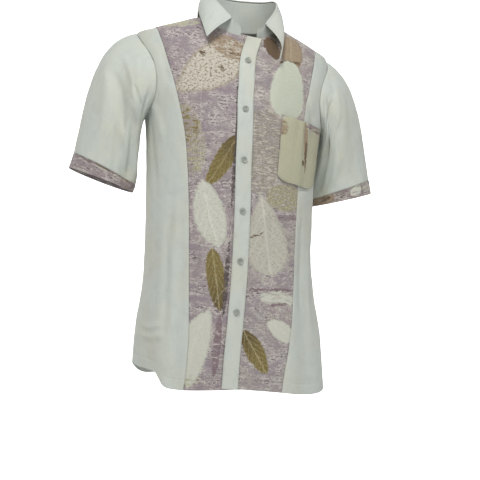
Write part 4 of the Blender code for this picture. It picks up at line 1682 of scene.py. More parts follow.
@dataclass(frozen=True)
class LeafPrint:
    """Dusty mauve cloth with crackle, prints of laid leaves and painted shade along its seams and
    hems.
    """

    name: str
    leaves: tuple
    beige: float
    ground: tuple
    light: tuple = tone(210, 202, 197)
    deep: tuple = tone(138, 124, 132)
    dark: tuple = tone(88, 75, 80)
    sand: tuple = tone(163, 154, 137)

    def make(self, body: Body | None) -> bpy.types.Material:
        """Material of one printed piece.

        Args:
            body: Body that the leaf places are measured on, or none where they are already
                in metres on the chart.

        Returns:
            The material.
        """
        kit = ShaderKit(self.name)
        chart = kit.chart()
        broad = kit.noise(kit.scaled(chart, (11.0, 14.0, 1.0)), 1.0, 2.0)
        patchy = kit.noise(kit.scaled(chart, (30.0, 52.0, 1.0)), 1.0, 4.0, 0.6)
        crackle = kit.noise(kit.scaled(chart, (52.0, 165.0, 1.0)), 1.0, 5.0, 0.68)
        upright = kit.noise(kit.scaled(chart, (230.0, 60.0, 1.0)), 1.0, 4.0, 0.65)
        fleck = kit.noise(kit.scaled(chart, (210.0, 280.0, 1.0)), 1.0, 5.0, 0.75)
        lines = kit.rise(abs(crackle - 0.5), 0.06, 0.006)
        stems = kit.rise(abs(upright - 0.5), 0.04, 0.005)
        colour = kit.mix(self.ground, self.sand, kit.rise(broad, 0.38, 0.62, self.beige))
        colour = kit.mix(colour, self.deep, kit.rise(patchy, 0.52, 0.38, 0.55))
        colour = kit.mix(colour, self.dark, kit.rise(fleck - 0.7 * (patchy - 0.5), 0.5, 0.38, 0.8))
        pale = lines * kit.rise(patchy, 0.4, 0.6, 0.85)
        colour = kit.mix(colour, self.light, pale.most(kit.rise(crackle, 0.58, 0.68, 0.7)))
        colour = kit.mix(colour, self.light, stems * kit.rise(broad, 0.5, 0.64, 0.55))
        ragged = kit.node(
            "ShaderNodeTexNoise", {}, {"Vector": chart, "Scale": 170.0, "Detail": 4.0}
        )
        jitter = kit.scaled(kit.moved(kit.wire(ragged, "Color"), (-0.5, -0.5, -0.5)), (0.009,) * 3)
        laid = kit.moved(chart, jitter)
        for row in self.leaves:
            colour = self.leaf(kit, colour, laid, (fleck, crackle, lines, stems), body, row)
        # Painted shade: the print darkens towards its seams and hem grooves, read from the edge
        # attribute.
        seam = kit.rise(kit.measure("edge"), 0.0032, 0.0, 0.2)
        slub = kit.noise(kit.scaled(chart, (60.0, 1400.0, 1.0)), 1.0, 2.0)
        grain = kit.noise(kit.scaled(chart, (620.0, 760.0, 1.0)), 1.0, 2.0)
        colour = kit.shaded(colour, 0.84 + 0.32 * grain - seam)
        height = 0.4 * Linen().weave(kit, chart) + 0.5 * slub + 0.7 * lines + 0.6 * fleck
        kit.shader.inputs["Sheen Weight"].default_value = 0.1
        kit.shader.inputs["Sheen Roughness"].default_value = 0.6
        kit.shader.inputs["Specular IOR Level"].default_value = 0.25
        kit.finish(colour, 0.72 + 0.16 * crackle, height, 0.00024)
        return kit.material

    def leaf(
        self,
        kit: ShaderKit,
        under: Wire,
        laid: Wire,
        noises: tuple[Wire, Wire, Wire, Wire],
        body: Body | None,
        row: tuple,
    ) -> Wire:
        """Lays one leaf print, or a painted shadow mark given as a leaf row, over the colour below
        it.

        Args:
            kit: The material's nodes.
            under: Colour below.
            laid: Chart with ragged edges.
            noises: Flecks, crackle, its lines and upright lines.
            body: Body to measure places on, or none.
            row: Leaf table row.

        Returns:
            The colour with the leaf.
        """
        tones, x0, z0, x1, z1, width, blunt, cover, mottle, *more = row
        bow, rib, belly, tip = (*more, 0.0, 0.0, 0.0, 0.0)[:4]
        fleck, crackle, lines, stems = noises
        start, end = self.on_chart(body, x0, z0), self.on_chart(body, x1, z1)
        way, middle = end - start, 0.5 * (start + end)
        local = kit.node(
            "ShaderNodeMapping",
            {"vector_type": "TEXTURE"},
            {
                "Vector": laid,
                "Location": (float(middle[0]), float(middle[1]), 0.0),
                "Rotation": (0.0, 0.0, math.atan2(way[1], way[0])),
                "Scale": (0.5 * float(np.hypot(*way)), 0.5 * width, 1.0),
            },
        )
        parts = kit.node("ShaderNodeSeparateXYZ", {}, {0: kit.wire(local)})
        x, y = kit.wire(parts, 0), kit.wire(parts, 1)
        reach = x * x
        side = abs(y + bow * (reach - 0.33))
        inside = (1.0 - reach).most(0.0) ** blunt * (1.0 - belly * x) - side
        mask = kit.rise(inside, -0.06, 0.1, 1.0)
        if cover < 1.0:
            mask = mask * kit.rise(crackle, 0.3 + 0.45 * cover, 0.2 + 0.3 * cover, 1.0)
        body_tone, speck, vein = tones.value
        if mottle > 2.0:
            spotted = stems * (mottle - 2.0)
        elif mottle >= 0.0:
            spotted = kit.rise(fleck, 0.48, 0.62, mottle)
        else:
            spotted = lines * -mottle
        fill = kit.mix(body_tone, speck, spotted)
        rim = kit.rise(abs(inside - 0.05), 0.14, 0.02, 0.4 if cover == 1.0 else 0.0)
        fill = kit.mix(fill, speck, rim)
        if tip != 0.0:
            fill = kit.mix(fill, DUSK.value[0], kit.rise(x * tip, -0.3, 0.9, 0.75))
        if rib > 0.0:
            middle_rib = kit.rise(side, 0.1, 0.02, rib)
            ribs = ((x * 3.0 - side * 2.2) * math.tau).wave()
            side_ribs = kit.rise(ribs, 0.72, 1.0, 0.6 * rib)
            fill = kit.mix(fill, vein, middle_rib.most(side_ribs))
        return kit.mix(under, fill, mask)

    def on_chart(self, body: Body | None, x: float, z: float) -> Array:
        """Chart place of an x and a level.

        Args:
            body: Body to measure it on, or none.
            x: Place across.
            z: Level.

        Returns:
            The place.
        """
        if body is None:
            return np.array((x, z))
        level = np.array(z)
        return np.array((float(body.arc(body.angle_at(np.array(x), level), level)), z))


# Tones, start x and level, end x and level, width, bluntness, cover, mottle (below 0 for level
# lines, above 2 for upright lines), then bow, rib, belly and 1 or -1 where the end or the start
# is darker, 0 where they are left out
IVORY, CREAM, BROWN, UMBER, GOLD, OLIVE, PLUM, DUSK, BEIGE, SAGE, MAUVE, PALE, SCALE = LeafTone
RIGHT_LEAVES = (
    (BEIGE, -0.15, -0.026, -0.084, -0.02, 0.02, 0.8, 0.8, 0.5, 0.1, 0.5),
    (CREAM, -0.132, -0.162, 0.004, -0.052, 0.08, 1.0, 1.0, 0.95, -0.1, 0.0, -0.3),
    (BROWN, -0.074, -0.048, 0.004, -0.08, 0.044, 0.7, 0.75, 0.9, 0.1, 0.0, -0.1),
    (UMBER, -0.088, -0.079, -0.077, -0.085, 0.01, 0.6, 0.85, 0.4),
    (UMBER, -0.052, -0.1, -0.044, -0.112, 0.009, 0.6, 0.8, 0.4),
    (UMBER, -0.036, -0.07, -0.012, -0.08, 0.012, 0.6, 0.5, 0.4),
    (PALE, -0.096, -0.185, -0.02, -0.16, 0.044, 0.5, 0.3, -0.6),
    (GOLD, -0.114, -0.178, -0.083, -0.305, 0.054, 0.5, 0.7, 2.95, 0.1),
    (OLIVE, -0.108, -0.186, -0.096, -0.25, 0.036, 0.6, 0.6, 0.6, 0.1),
    (PALE, -0.052, -0.18, -0.048, -0.26, 0.03, 0.5, 0.35, 0.5),
    (OLIVE, -0.013, -0.228, -0.064, -0.325, 0.035, 0.6, 1.0, 0.9, 0.15, 0.4, 0.1, -1.0),
    (IVORY, -0.074, -0.312, -0.036, -0.434, 0.06, 0.7, 1.0, 0.8, -0.12, 0.5, -0.12),
    (PALE, -0.074, -0.429, -0.013, -0.418, 0.018, 0.6, 0.55, -0.5),
    (OLIVE, -0.046, -0.436, -0.025, -0.55, 0.036, 0.62, 1.0, 0.8, 0.05, 0.6, 0.15, 1.0),
    (PALE, -0.095, -0.45, -0.084, -0.53, 0.03, 0.5, 0.35, -0.5),
    # Painted shadow: dark thin bands beside the front band's free edge, down to the hem, where the
    # band casts its shade.
    (PLUM, -0.017, -0.13, -0.017, -0.36, 0.008, 0.5, 0.85, 0.6),
    (PLUM, -0.016, -0.42, -0.018, -0.56, 0.009, 0.5, 0.85, 0.6),
    (MAUVE, -0.024, -0.556, -0.028, -0.67, 0.014, 0.5, 0.9, 0.6, 0.1),
    (IVORY, -0.05, -0.546, -0.08, -0.692, 0.058, 0.75, 1.0, 0.3, -0.34, 0.2, -0.05),
    (BEIGE, -0.083, -0.686, -0.05, -0.672, 0.018, 0.6, 0.6, 0.6),
)
LEFT_LEAVES = (
    (BROWN, 0.05, -0.025, 0.064, -0.09, 0.04, 0.5, 0.5, 0.8),
    # Partly print, partly painted shadow: dark brown under the collar's left point.
    (UMBER, 0.04, -0.033, 0.062, -0.072, 0.03, 0.5, 1.0, 0.5),
    (PALE, 0.01, -0.08, 0.042, -0.13, 0.044, 0.5, 0.3, 0.5),
    (BROWN, 0.093, -0.02, 0.089, -0.086, 0.048, 0.35, 1.0, 0.4, 0.0, 0.2),
    (UMBER, 0.064, -0.079, 0.108, -0.074, 0.008, 0.4, 0.8, 0.4, 0.2),
    (SCALE, 0.035, -0.175, 0.03, -0.33, 0.08, 0.3, 0.8, -0.9),
    (SCALE, 0.07, -0.16, 0.056, -0.19, 0.06, 0.4, 0.6, -0.8),
    (SAGE, 0.0865, -0.074, 0.0775, -0.185, 0.072, 0.38, 1.0, 0.3, 0.0, 0.1, -0.22),
    (CREAM, 0.014, -0.215, 0.07, -0.185, 0.036, 0.6, 0.45, 0.4, 0.1),
    (GOLD, 0.048, -0.336, 0.122, -0.332, 0.05, 0.4, 0.85, 0.9),
    (MAUVE, 0.056, -0.373, 0.118, -0.369, 0.012, 0.4, 0.75, 0.2),
    (MAUVE, 0.012, -0.363, 0.032, -0.37, 0.01, 0.5, 0.7, 0.2),
    (SCALE, 0.085, -0.39, 0.09, -0.47, 0.07, 0.4, 0.6, -0.7),
    (PALE, 0.038, -0.333, 0.068, -0.48, 0.08, 0.62, 1.0, 0.9, 0.0, 0.5, -0.5),
    (UMBER, 0.02, -0.412, 0.048, -0.402, 0.004, 0.5, 0.8, 0.1),
    (MAUVE, 0.026, -0.506, 0.114, -0.504, 0.0045, 0.3, 0.9, 0.1, 0.4),
    (SCALE, 0.02, -0.49, 0.1, -0.486, 0.024, 0.4, 0.45, -0.6),
    (IVORY, 0.048, -0.519, 0.116, -0.523, 0.028, 0.45, 0.85, 0.4),
    (MAUVE, 0.064, -0.534, 0.106, -0.53, 0.008, 0.8, 0.75, 0.2, 0.5),
    (IVORY, 0.066, -0.563, 0.118, -0.596, 0.036, 0.6, 1.0, 0.3, 0.1, 0.3, -0.1),
    (OLIVE, 0.021, -0.582, 0.07, -0.66, 0.037, 0.6, 1.0, 0.9, 0.05, 0.7, 0.1, -1.0),
    (PALE, 0.07, -0.69, 0.108, -0.67, 0.03, 0.5, 0.5, 0.6),
)
POCKET_LEAVES = (
    (BEIGE, 0.15, -0.19, 0.146, -0.33, 0.072, 0.25, 1.0, 0.2, 0.0, 0.15),
    (BEIGE, 0.096, -0.18, 0.09, -0.336, 0.096, 0.22, 1.0, 0.2, 0.0, 0.12, -0.05),
    (BROWN, 0.054, -0.19, 0.078, -0.214, 0.03, 0.5, 0.8, 0.8),
    # Painted shade: dark upright lines in the pocket's crease, on top of the crease in its shape.
    (BROWN, 0.118, -0.186, 0.125, -0.285, 0.0095, 0.6, 1.0, 0.5, 0.3, 0.0, 0.2),
    (UMBER, 0.1215, -0.22, 0.1235, -0.28, 0.004, 0.5, 1.0, 0.3, 0.3),
    (UMBER, 0.117, -0.26, 0.118, -0.271, 0.008, 0.5, 1.0, 0.3),
    (MAUVE, 0.118, -0.193, 0.174, -0.203, 0.014, 0.6, 0.75, 0.6),
)
RIGHT_CUFF_LEAVES = (
    (PALE, 0.268, 0.248, 0.338, 0.243, 0.008, 0.6, 0.75, 0.5, 0.2),
    (UMBER, 0.22, 0.244, 0.36, 0.244, 0.004, 0.5, 0.85, 0.3, 0.2),
    (BROWN, 0.32, 0.256, 0.37, 0.256, 0.02, 0.6, 0.5, 0.8),
    (PALE, 0.197, 0.265, 0.266, 0.268, 0.007, 0.6, 0.6, 0.5, 0.1),
    (PALE, 0.04, 0.252, 0.11, 0.256, 0.012, 0.6, 0.45, 0.5, 0.1),
)
LEFT_CUFF_LEAVES = (
    (BROWN, 0.318, 0.254, 0.38, 0.246, 0.044, 0.35, 0.9, 0.8),
    (UMBER, 0.325, 0.25, 0.352, 0.254, 0.016, 0.5, 0.7, 0.6),
    (IVORY, 0.259, 0.244, 0.284, 0.262, 0.024, 0.6, 0.9, 0.5, 0.1, 0.5),
    (PALE, 0.206, 0.262, 0.255, 0.25, 0.026, 0.45, 0.8, 0.5),
    (BROWN, 0.05, 0.256, 0.12, 0.252, 0.02, 0.6, 0.45, 0.5, 0.1),
)


@dataclass(frozen=True)
class Plastic:
    """Grey-green horn-like plastic of the buttons."""

    name: str = "button_horn"
    colour: tuple = tone(164, 169, 160)
    dark: tuple = tone(132, 137, 128)

    def make(self) -> bpy.types.Material:
        """Material of the buttons.

        Returns:
            The material.
        """
        kit = ShaderKit(self.name)
        spot = kit.wire(kit.node("ShaderNodeTexCoord", {}, {}), "Object")
        cloud = kit.noise(spot, 240.0, 3.0)
        streak = kit.noise(kit.scaled(spot, (900.0, 300.0, 260.0)), 1.0, 2.0)
        colour = kit.mix(self.colour, self.dark, kit.rise(cloud + 0.4 * streak, 0.55, 0.85, 0.8))
        kit.finish(colour, 0.26 + 0.12 * streak, streak, 0.00002)
        return kit.material


@dataclass(frozen=True)
class Thread:
    """Twisted sewing thread."""

    name: str = "sewing_thread"
    colour: tuple = tone(190, 195, 187)

    def make(self) -> bpy.types.Material:
        """Material of the stitches.

        Returns:
            The material.
        """
        kit = ShaderKit(self.name)
        spot = kit.wire(kit.node("ShaderNodeTexCoord", {}, {}), "Object")
        twist = kit.noise(spot, 3200.0, 1.0)
        kit.finish(kit.shaded(self.colour, 0.84 + 0.24 * twist), 0.7 + 0.1 * twist, twist, 0.00005)
        return kit.material


def stations(length: float, pitch: float, fine: Sequence[float]) -> Array:
    """Places along a length, closer together round fine places.

    Args:
        length: Whole length, in metres.
        pitch: Usual distance between places, in metres.
        fine: Places where they lie closer.

    Returns:
        Places from 0 to the length.
    """
    count = max(2, int(round(length / pitch)))
    found = set(np.round(np.linspace(0.0, length, count + 1), 6))
    for place in fine:
        for away in FINE_STEPS:
            if 0.0 <= place + away <= length:
                found.add(round(place + away, 6))
    found = sorted(found)
    kept = [found[0]]
    for value in found[1:-1]:
        if min(value - kept[-1], found[-1] - value) > SMALLEST_STEP:
            kept.append(value)
    return np.array([*kept, found[-1]])


@dataclass
class Cloth:
    """One piece of cloth made as a thin shell on its patch."""

    name: str
    patch: Patch
    material: bpy.types.Material
    slot: str
    flat: tuple[float, float]
    area: float | None
    held: str
    rests_on: tuple[str, ...]
    pitch: float = 0.0024
    seams: tuple[str, ...] = ()
    hems: tuple[str, ...] = ()
    hem_turn: float = HEM_TURN
    rough: float = 1.0

    def shares(self) -> tuple[Array, Array]:
        """Shares across and along at which the cloth has its points.

        Returns:
            Shares across and along.
        """
        probe = np.linspace(0.0, 1.0, 161)
        half = np.full_like(probe, 0.5)
        across = self.patch.place(probe, half)
        along = self.patch.place(half * (0.9 if self.patch.tube else 1.0), probe)
        found = []
        for index, line in enumerate((across, along)):
            steps = np.linalg.norm(np.diff(line, axis=0), axis=-1)
            run = np.concatenate([[0.0], np.cumsum(steps)])
            fine = []
            for edge, place in zip((("left", "right"), ("bottom", "top"))[index], (0.0, run[-1])):
                inward = 1.0 if place == 0.0 else -1.0
                if edge in self.seams or edge in self.hems:
                    fine.append(place)
                if edge in self.hems:
                    fine.append(place + inward * self.hem_turn)
            places = stations(float(run[-1]), self.pitch, fine)
            found.append(np.interp(places, run, probe))
        return found[0], found[1]

    def surface(self, u: Array, v: Array) -> tuple[Array, Array]:
        """Points and outward directions of the finished outer side."""
        spot, out = self.patch.place(u, v), self.patch.normal(u, v)
        return spot + out * spread(rumple(spot) * self.rough), out

    def build(self) -> bpy.types.Object:
        """Makes the piece, hangs it on the root and hides the part that it replaces.

        Returns:
            The piece.
        """
        us, vs = self.shares()
        v, u = np.meshgrid(vs, us, indexing="ij")
        spot, out = self.surface(u, v)
        edges = self.edge_runs(spot)
        near = np.full(u.shape, 1.0)
        for edge, run in edges.items():
            if edge in self.seams:
                spot = spot - out * spread(SEAM_DIP * np.exp(-((run / SEAM_HALF) ** 2)))
                near = np.minimum(near, run)
            if edge in self.hems:
                groove = np.exp(-(((run - self.hem_turn) / GROOVE_HALF) ** 2))
                turned = smooth(self.hem_turn + 0.001, self.hem_turn - 0.001, run)
                rounded = np.exp(-((run / ROUND_HALF) ** 2))
                lift = HEM_LIFT * turned - GROOVE_DEPTH * groove - ROUND_DEPTH * rounded
                spot = spot + out * spread(lift)
                near = np.minimum(near, np.abs(run - self.hem_turn) + 0.0005)
        spot = self.held_back(spot)
        piece = self.mesh(spot, out, self.patch.chart(u, v), near)
        self.declare(piece)
        LOG.info("%s: %d points", self.name, len(piece.data.vertices))
        return piece

    def edge_runs(self, spot: Array) -> dict[str, Array]:
        """Metres from each edge along the grid lines.

        Args:
            spot: Points by row and column.

        Returns:
            The run from each edge.
        """
        across = np.linalg.norm(np.diff(spot, axis=1), axis=-1)
        along = np.linalg.norm(np.diff(spot, axis=0), axis=-1)
        left = np.concatenate([np.zeros((len(across), 1)), np.cumsum(across, axis=1)], axis=1)
        low = np.concatenate([np.zeros((1, along.shape[1])), np.cumsum(along, axis=0)], axis=0)
        right, high = left[:, -1:] - left, low[-1:, :] - low
        return {"left": left, "right": right, "bottom": low, "top": high}

    def held_back(self, spot: Array) -> Array:
        """Points with the seam edges drawn back by half the seam gap.

        Args:
            spot: Points by row and column.

        Returns:
            The points.
        """
        spot = spot.copy()
        keep = 0.5 * SEAM_GAP
        lines = {
            "left": ((slice(None), 0), (slice(None), 1)),
            "right": ((slice(None), -1), (slice(None), -2)),
            "bottom": ((0, slice(None)), (1, slice(None))),
            "top": ((-1, slice(None)), (-2, slice(None))),
        }
        for edge in self.seams:
            here, inner = lines[edge]
            spot[here] = spot[here] + unit(spot[inner] - spot[here]) * keep
        return spot

    def mesh(self, spot: Array, out: Array, chart: Array, near: Array) -> bpy.types.Object:
        """Grid bent to the points, as a shell.

        Args:
            spot: Points by row and column.
            out: Outward directions.
            chart: Flat places.
            near: Distance from the nearest sewn edge.

        Returns:
            The piece.
        """
        rows, columns = spot.shape[:2]
        made = bmesh.new()
        bmesh.ops.create_grid(made, x_segments=columns - 1, y_segments=rows - 1, size=0.5)
        # The edge attribute feeds the painted shade at seams and hems in the materials.
        sewn = made.verts.layers.float.new("edge")
        cloth = made.loops.layers.uv.new("cloth")
        cells = {}
        for vert in made.verts:
            column = int(round((vert.co.x + 0.5) * (columns - 1)))
            row = int(round((vert.co.y + 0.5) * (rows - 1)))
            cells[vert.index] = (row, column)
            vert.co = spot[row, column]
            vert[sewn] = float(near[row, column])
        for face in made.faces:
            face.smooth = True
            for loop in face.loops:
                loop[cloth].uv = chart[cells[loop.vert.index]]
        made.normal_update()
        agree = sum(face.normal.dot(Vector(out[cells[face.verts[0].index]])) for face in made.faces)
        if agree < 0.0:
            bmesh.ops.reverse_faces(made, faces=made.faces)
        if self.patch.tube:
            bmesh.ops.remove_doubles(made, verts=made.verts, dist=1e-6)
        piece = placed(self.name, made, self.material)
        shell = piece.modifiers.new("shell", "SOLIDIFY")
        shell.thickness = SHELL
        shell.offset = -1.0
        shell.use_rim = True
        return piece

    def declare(self, piece: bpy.types.Object) -> None:
        """Hangs the piece on the root and hides the imported part that it replaces.

        Args:
            piece: The piece.
        """
        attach(piece, "root")
        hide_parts(self.name.removesuffix("_cloth"))


@dataclass
class Sewing:
    """Rows of stitches laid on pieces of cloth."""

    material: bpy.types.Material
    pitch: float = 0.0032
    long: float = 0.0023
    thick: float = 0.00034
    probes: int = 220

    def row(self, mesh: bmesh.types.BMesh, cloth: Cloth, path: Sequence[tuple]) -> None:
        """Adds one row of stitches.

        Args:
            mesh: Mesh that takes them.
            cloth: Cloth that they lie on.
            path: Corners of the row, as shares u and v.
        """
        corners = np.array(path, float)
        t = np.linspace(0.0, len(corners) - 1.0, self.probes * (len(corners) - 1))
        low = np.minimum(t.astype(int), len(corners) - 2)
        shares = corners[low] + (corners[low + 1] - corners[low]) * (t - low)[:, None]
        spot, out = cloth.surface(shares[:, 0], shares[:, 1])
        steps = np.linalg.norm(np.diff(spot, axis=0), axis=-1)
        run = np.concatenate([[0.0], np.cumsum(steps)])
        places = np.arange(0.5 * self.pitch, run[-1], self.pitch)
        for place in places:
            ends = [
                Vector([np.interp(place + away, run, spot[:, axis]) for axis in range(3)])
                for away in (-0.5 * self.long, 0.5 * self.long)
            ]
            up = Vector([np.interp(place, run, out[:, axis]) for axis in range(3)]).normalized()
            along = (ends[1] - ends[0]).normalized()
            side = up.cross(along).normalized()
            up = along.cross(side)
            frame_of = Matrix((along * self.long * 0.5, side * self.thick, up * self.thick))
            frame_of = frame_of.transposed().to_4x4()
            frame_of.translation = (ends[0] + ends[1]) * 0.5 + up * (0.2 * self.thick)
            bmesh.ops.create_uvsphere(
                mesh, u_segments=6, v_segments=4, radius=1.0, matrix=frame_of
            )

    def build(self, name: str, slot: str, rows: Sequence[tuple[Cloth, Sequence]]) -> None:
        """Makes one piece of stitches.

        Args:
            name: Name of the piece.
            slot: Not used.
            rows: Cloth and path of each row.
        """
        mesh = bmesh.new()
        for cloth, path in rows:
            self.row(mesh, cloth, path)
        for face in mesh.faces:
            face.smooth = True
        piece = placed(name, mesh, self.material)
        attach(piece, "root")
        LOG.info("%s: %d faces", name, len(piece.data.polygons))


@dataclass
class Button:
    """Four-hole button sewn on the front band."""

    number: int
    level: float
    body: Body
    horn: bpy.types.Material
    thread: bpy.types.Material
    hole: float = 0.0009
    spacing: float = 0.0013
    segments: int = 40
    face: float = 0.66
    strand: float = 0.00028
    strand_half: float = 0.00017
    strand_rise: float = 0.00035
    strand_dip: float = 0.0008

    def place(self) -> Matrix:
        """Where the button sits, its face outwards.

        Returns:
            Its place and turn.
        """
        spots = []
        for level in (self.level, self.level + 0.01):
            key = np.array([level])
            x = self.body.cut.at(key)[1]
            spots.append(self.body.settle(self.body.point(self.body.angle_at(x, key), key))[0])
        up = Vector(spots[1] - spots[0]).normalized()
        out = Vector((1.0, 0.0, 0.0)).cross(up).normalized()
        side = up.cross(out).normalized()
        made = Matrix((side, up, out)).transposed().to_4x4()
        made.translation = Vector(spots[0]) + out * (PLACKET_LIFT + 0.001)
        return made

    def profile(self) -> tuple[tuple[float, float], ...]:
        """Radius and height from the back edge over the rim to the middle.

        Returns:
            The points of the profile.
        """
        r, h = BUTTON_RADIUS, BUTTON_HEIGHT
        return (
            (0.0, 0.0), (0.72 * r, 0.0), (0.9 * r, 0.16 * h), (r, 0.48 * h), (0.985 * r, 0.78 * h),
            (0.93 * r, 0.96 * h), (0.85 * r, h), (0.77 * r, 0.95 * h), (0.7 * r, 0.78 * h),
            (0.62 * r, 0.68 * h), (0.3 * r, self.face * h), (0.0, self.face * h),
        )

    def build(self) -> None:
        """Makes the disc with its holes, and its thread."""
        mesh = bmesh.new()
        line = [mesh.verts.new((radius, 0.0, height)) for radius, height in self.profile()]
        edges = [mesh.edges.new(pair) for pair in zip(line, line[1:])]
        bmesh.ops.spin(
            mesh, geom=line + edges, cent=(0.0, 0.0, 0.0), axis=(0.0, 0.0, 1.0), dvec=(0, 0, 0),
            angle=math.tau, steps=self.segments, use_merge=True,
        )
        bmesh.ops.remove_doubles(mesh, verts=mesh.verts, dist=1e-6)
        bmesh.ops.recalc_face_normals(mesh, faces=mesh.faces)
        piece = placed(f"button_{self.number}_disc", mesh, self.horn)
        self.pierce(piece)
        for face in piece.data.polygons:
            face.use_smooth = abs(face.normal.z) > 0.2 or face.area > 2e-8
        piece.data.transform(self.place())
        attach(piece, "root")
        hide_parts(f"button_{self.number}")
        self.sew()

    def pierce(self, piece: bpy.types.Object) -> None:
        """Cuts the four holes.

        Args:
            piece: The piece.
        """
        mesh = bmesh.new()
        for column in (-1, 1):
            for row in (-1, 1):
                spot = Matrix.Translation((column * self.spacing, row * self.spacing, 0.001))
                bmesh.ops.create_cone(
                    mesh, cap_ends=True, segments=14, radius1=self.hole, radius2=self.hole,
                    depth=0.006, matrix=spot,
                )
        cutter = placed("hole_cutter", mesh, self.horn)
        cut = piece.modifiers.new("holes", "BOOLEAN")
        cut.operation, cut.solver, cut.object = "DIFFERENCE", "EXACT", cutter
        bpy.context.view_layer.update()
        graph = bpy.context.evaluated_depsgraph_get()
        done = bpy.data.meshes.new_from_object(piece.evaluated_get(graph))
        piece.modifiers.remove(cut)
        piece.data = done
        bpy.data.objects.remove(cutter, do_unlink=True)

    def sew(self) -> None:
        """Lays the thread in two bars over the holes."""
        mesh = bmesh.new()
        top = self.face * BUTTON_HEIGHT
        for column in (-1, 1):
            for strand in (-self.strand, 0.0, self.strand):
                line = []
                for step in range(9):
                    t = step / 8.0 * 2.0 - 1.0
                    y = t * (self.spacing + 0.0001)
                    z = top + self.strand_rise - self.strand_dip * abs(t) ** 6
                    line.append(Vector((column * self.spacing + strand, y, z)))
                self.tube(mesh, line, self.strand_half)
        piece = placed(f"button_{self.number}_thread", mesh, self.thread)
        piece.data.transform(self.place())
        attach(piece, "root")

    def tube(self, mesh: bmesh.types.BMesh, line: Sequence[Vector], radius: float) -> None:
        """Round strand along a line.

        Args:
            mesh: Mesh that takes it.
            line: Points of its middle.
            radius: Half its thickness.
        """
        rings = []
        for index, spot in enumerate(line):
            ahead = line[min(index + 1, len(line) - 1)] - line[max(index - 1, 0)]
            turn = ahead.to_track_quat("Z", "Y").to_matrix().to_4x4()
            turn.translation = spot
            made = bmesh.ops.create_circle(
                mesh, cap_ends=index in (0, len(line) - 1), segments=6, radius=radius, matrix=turn
            )
            rings.append({edge for vert in made["verts"] for edge in vert.link_edges})
        for low, high in zip(rings, rings[1:]):
            bmesh.ops.bridge_loops(mesh, edges=list(low | high))
        for face in mesh.faces:
            face.smooth = True
        bmesh.ops.recalc_face_normals(mesh, faces=mesh.faces)


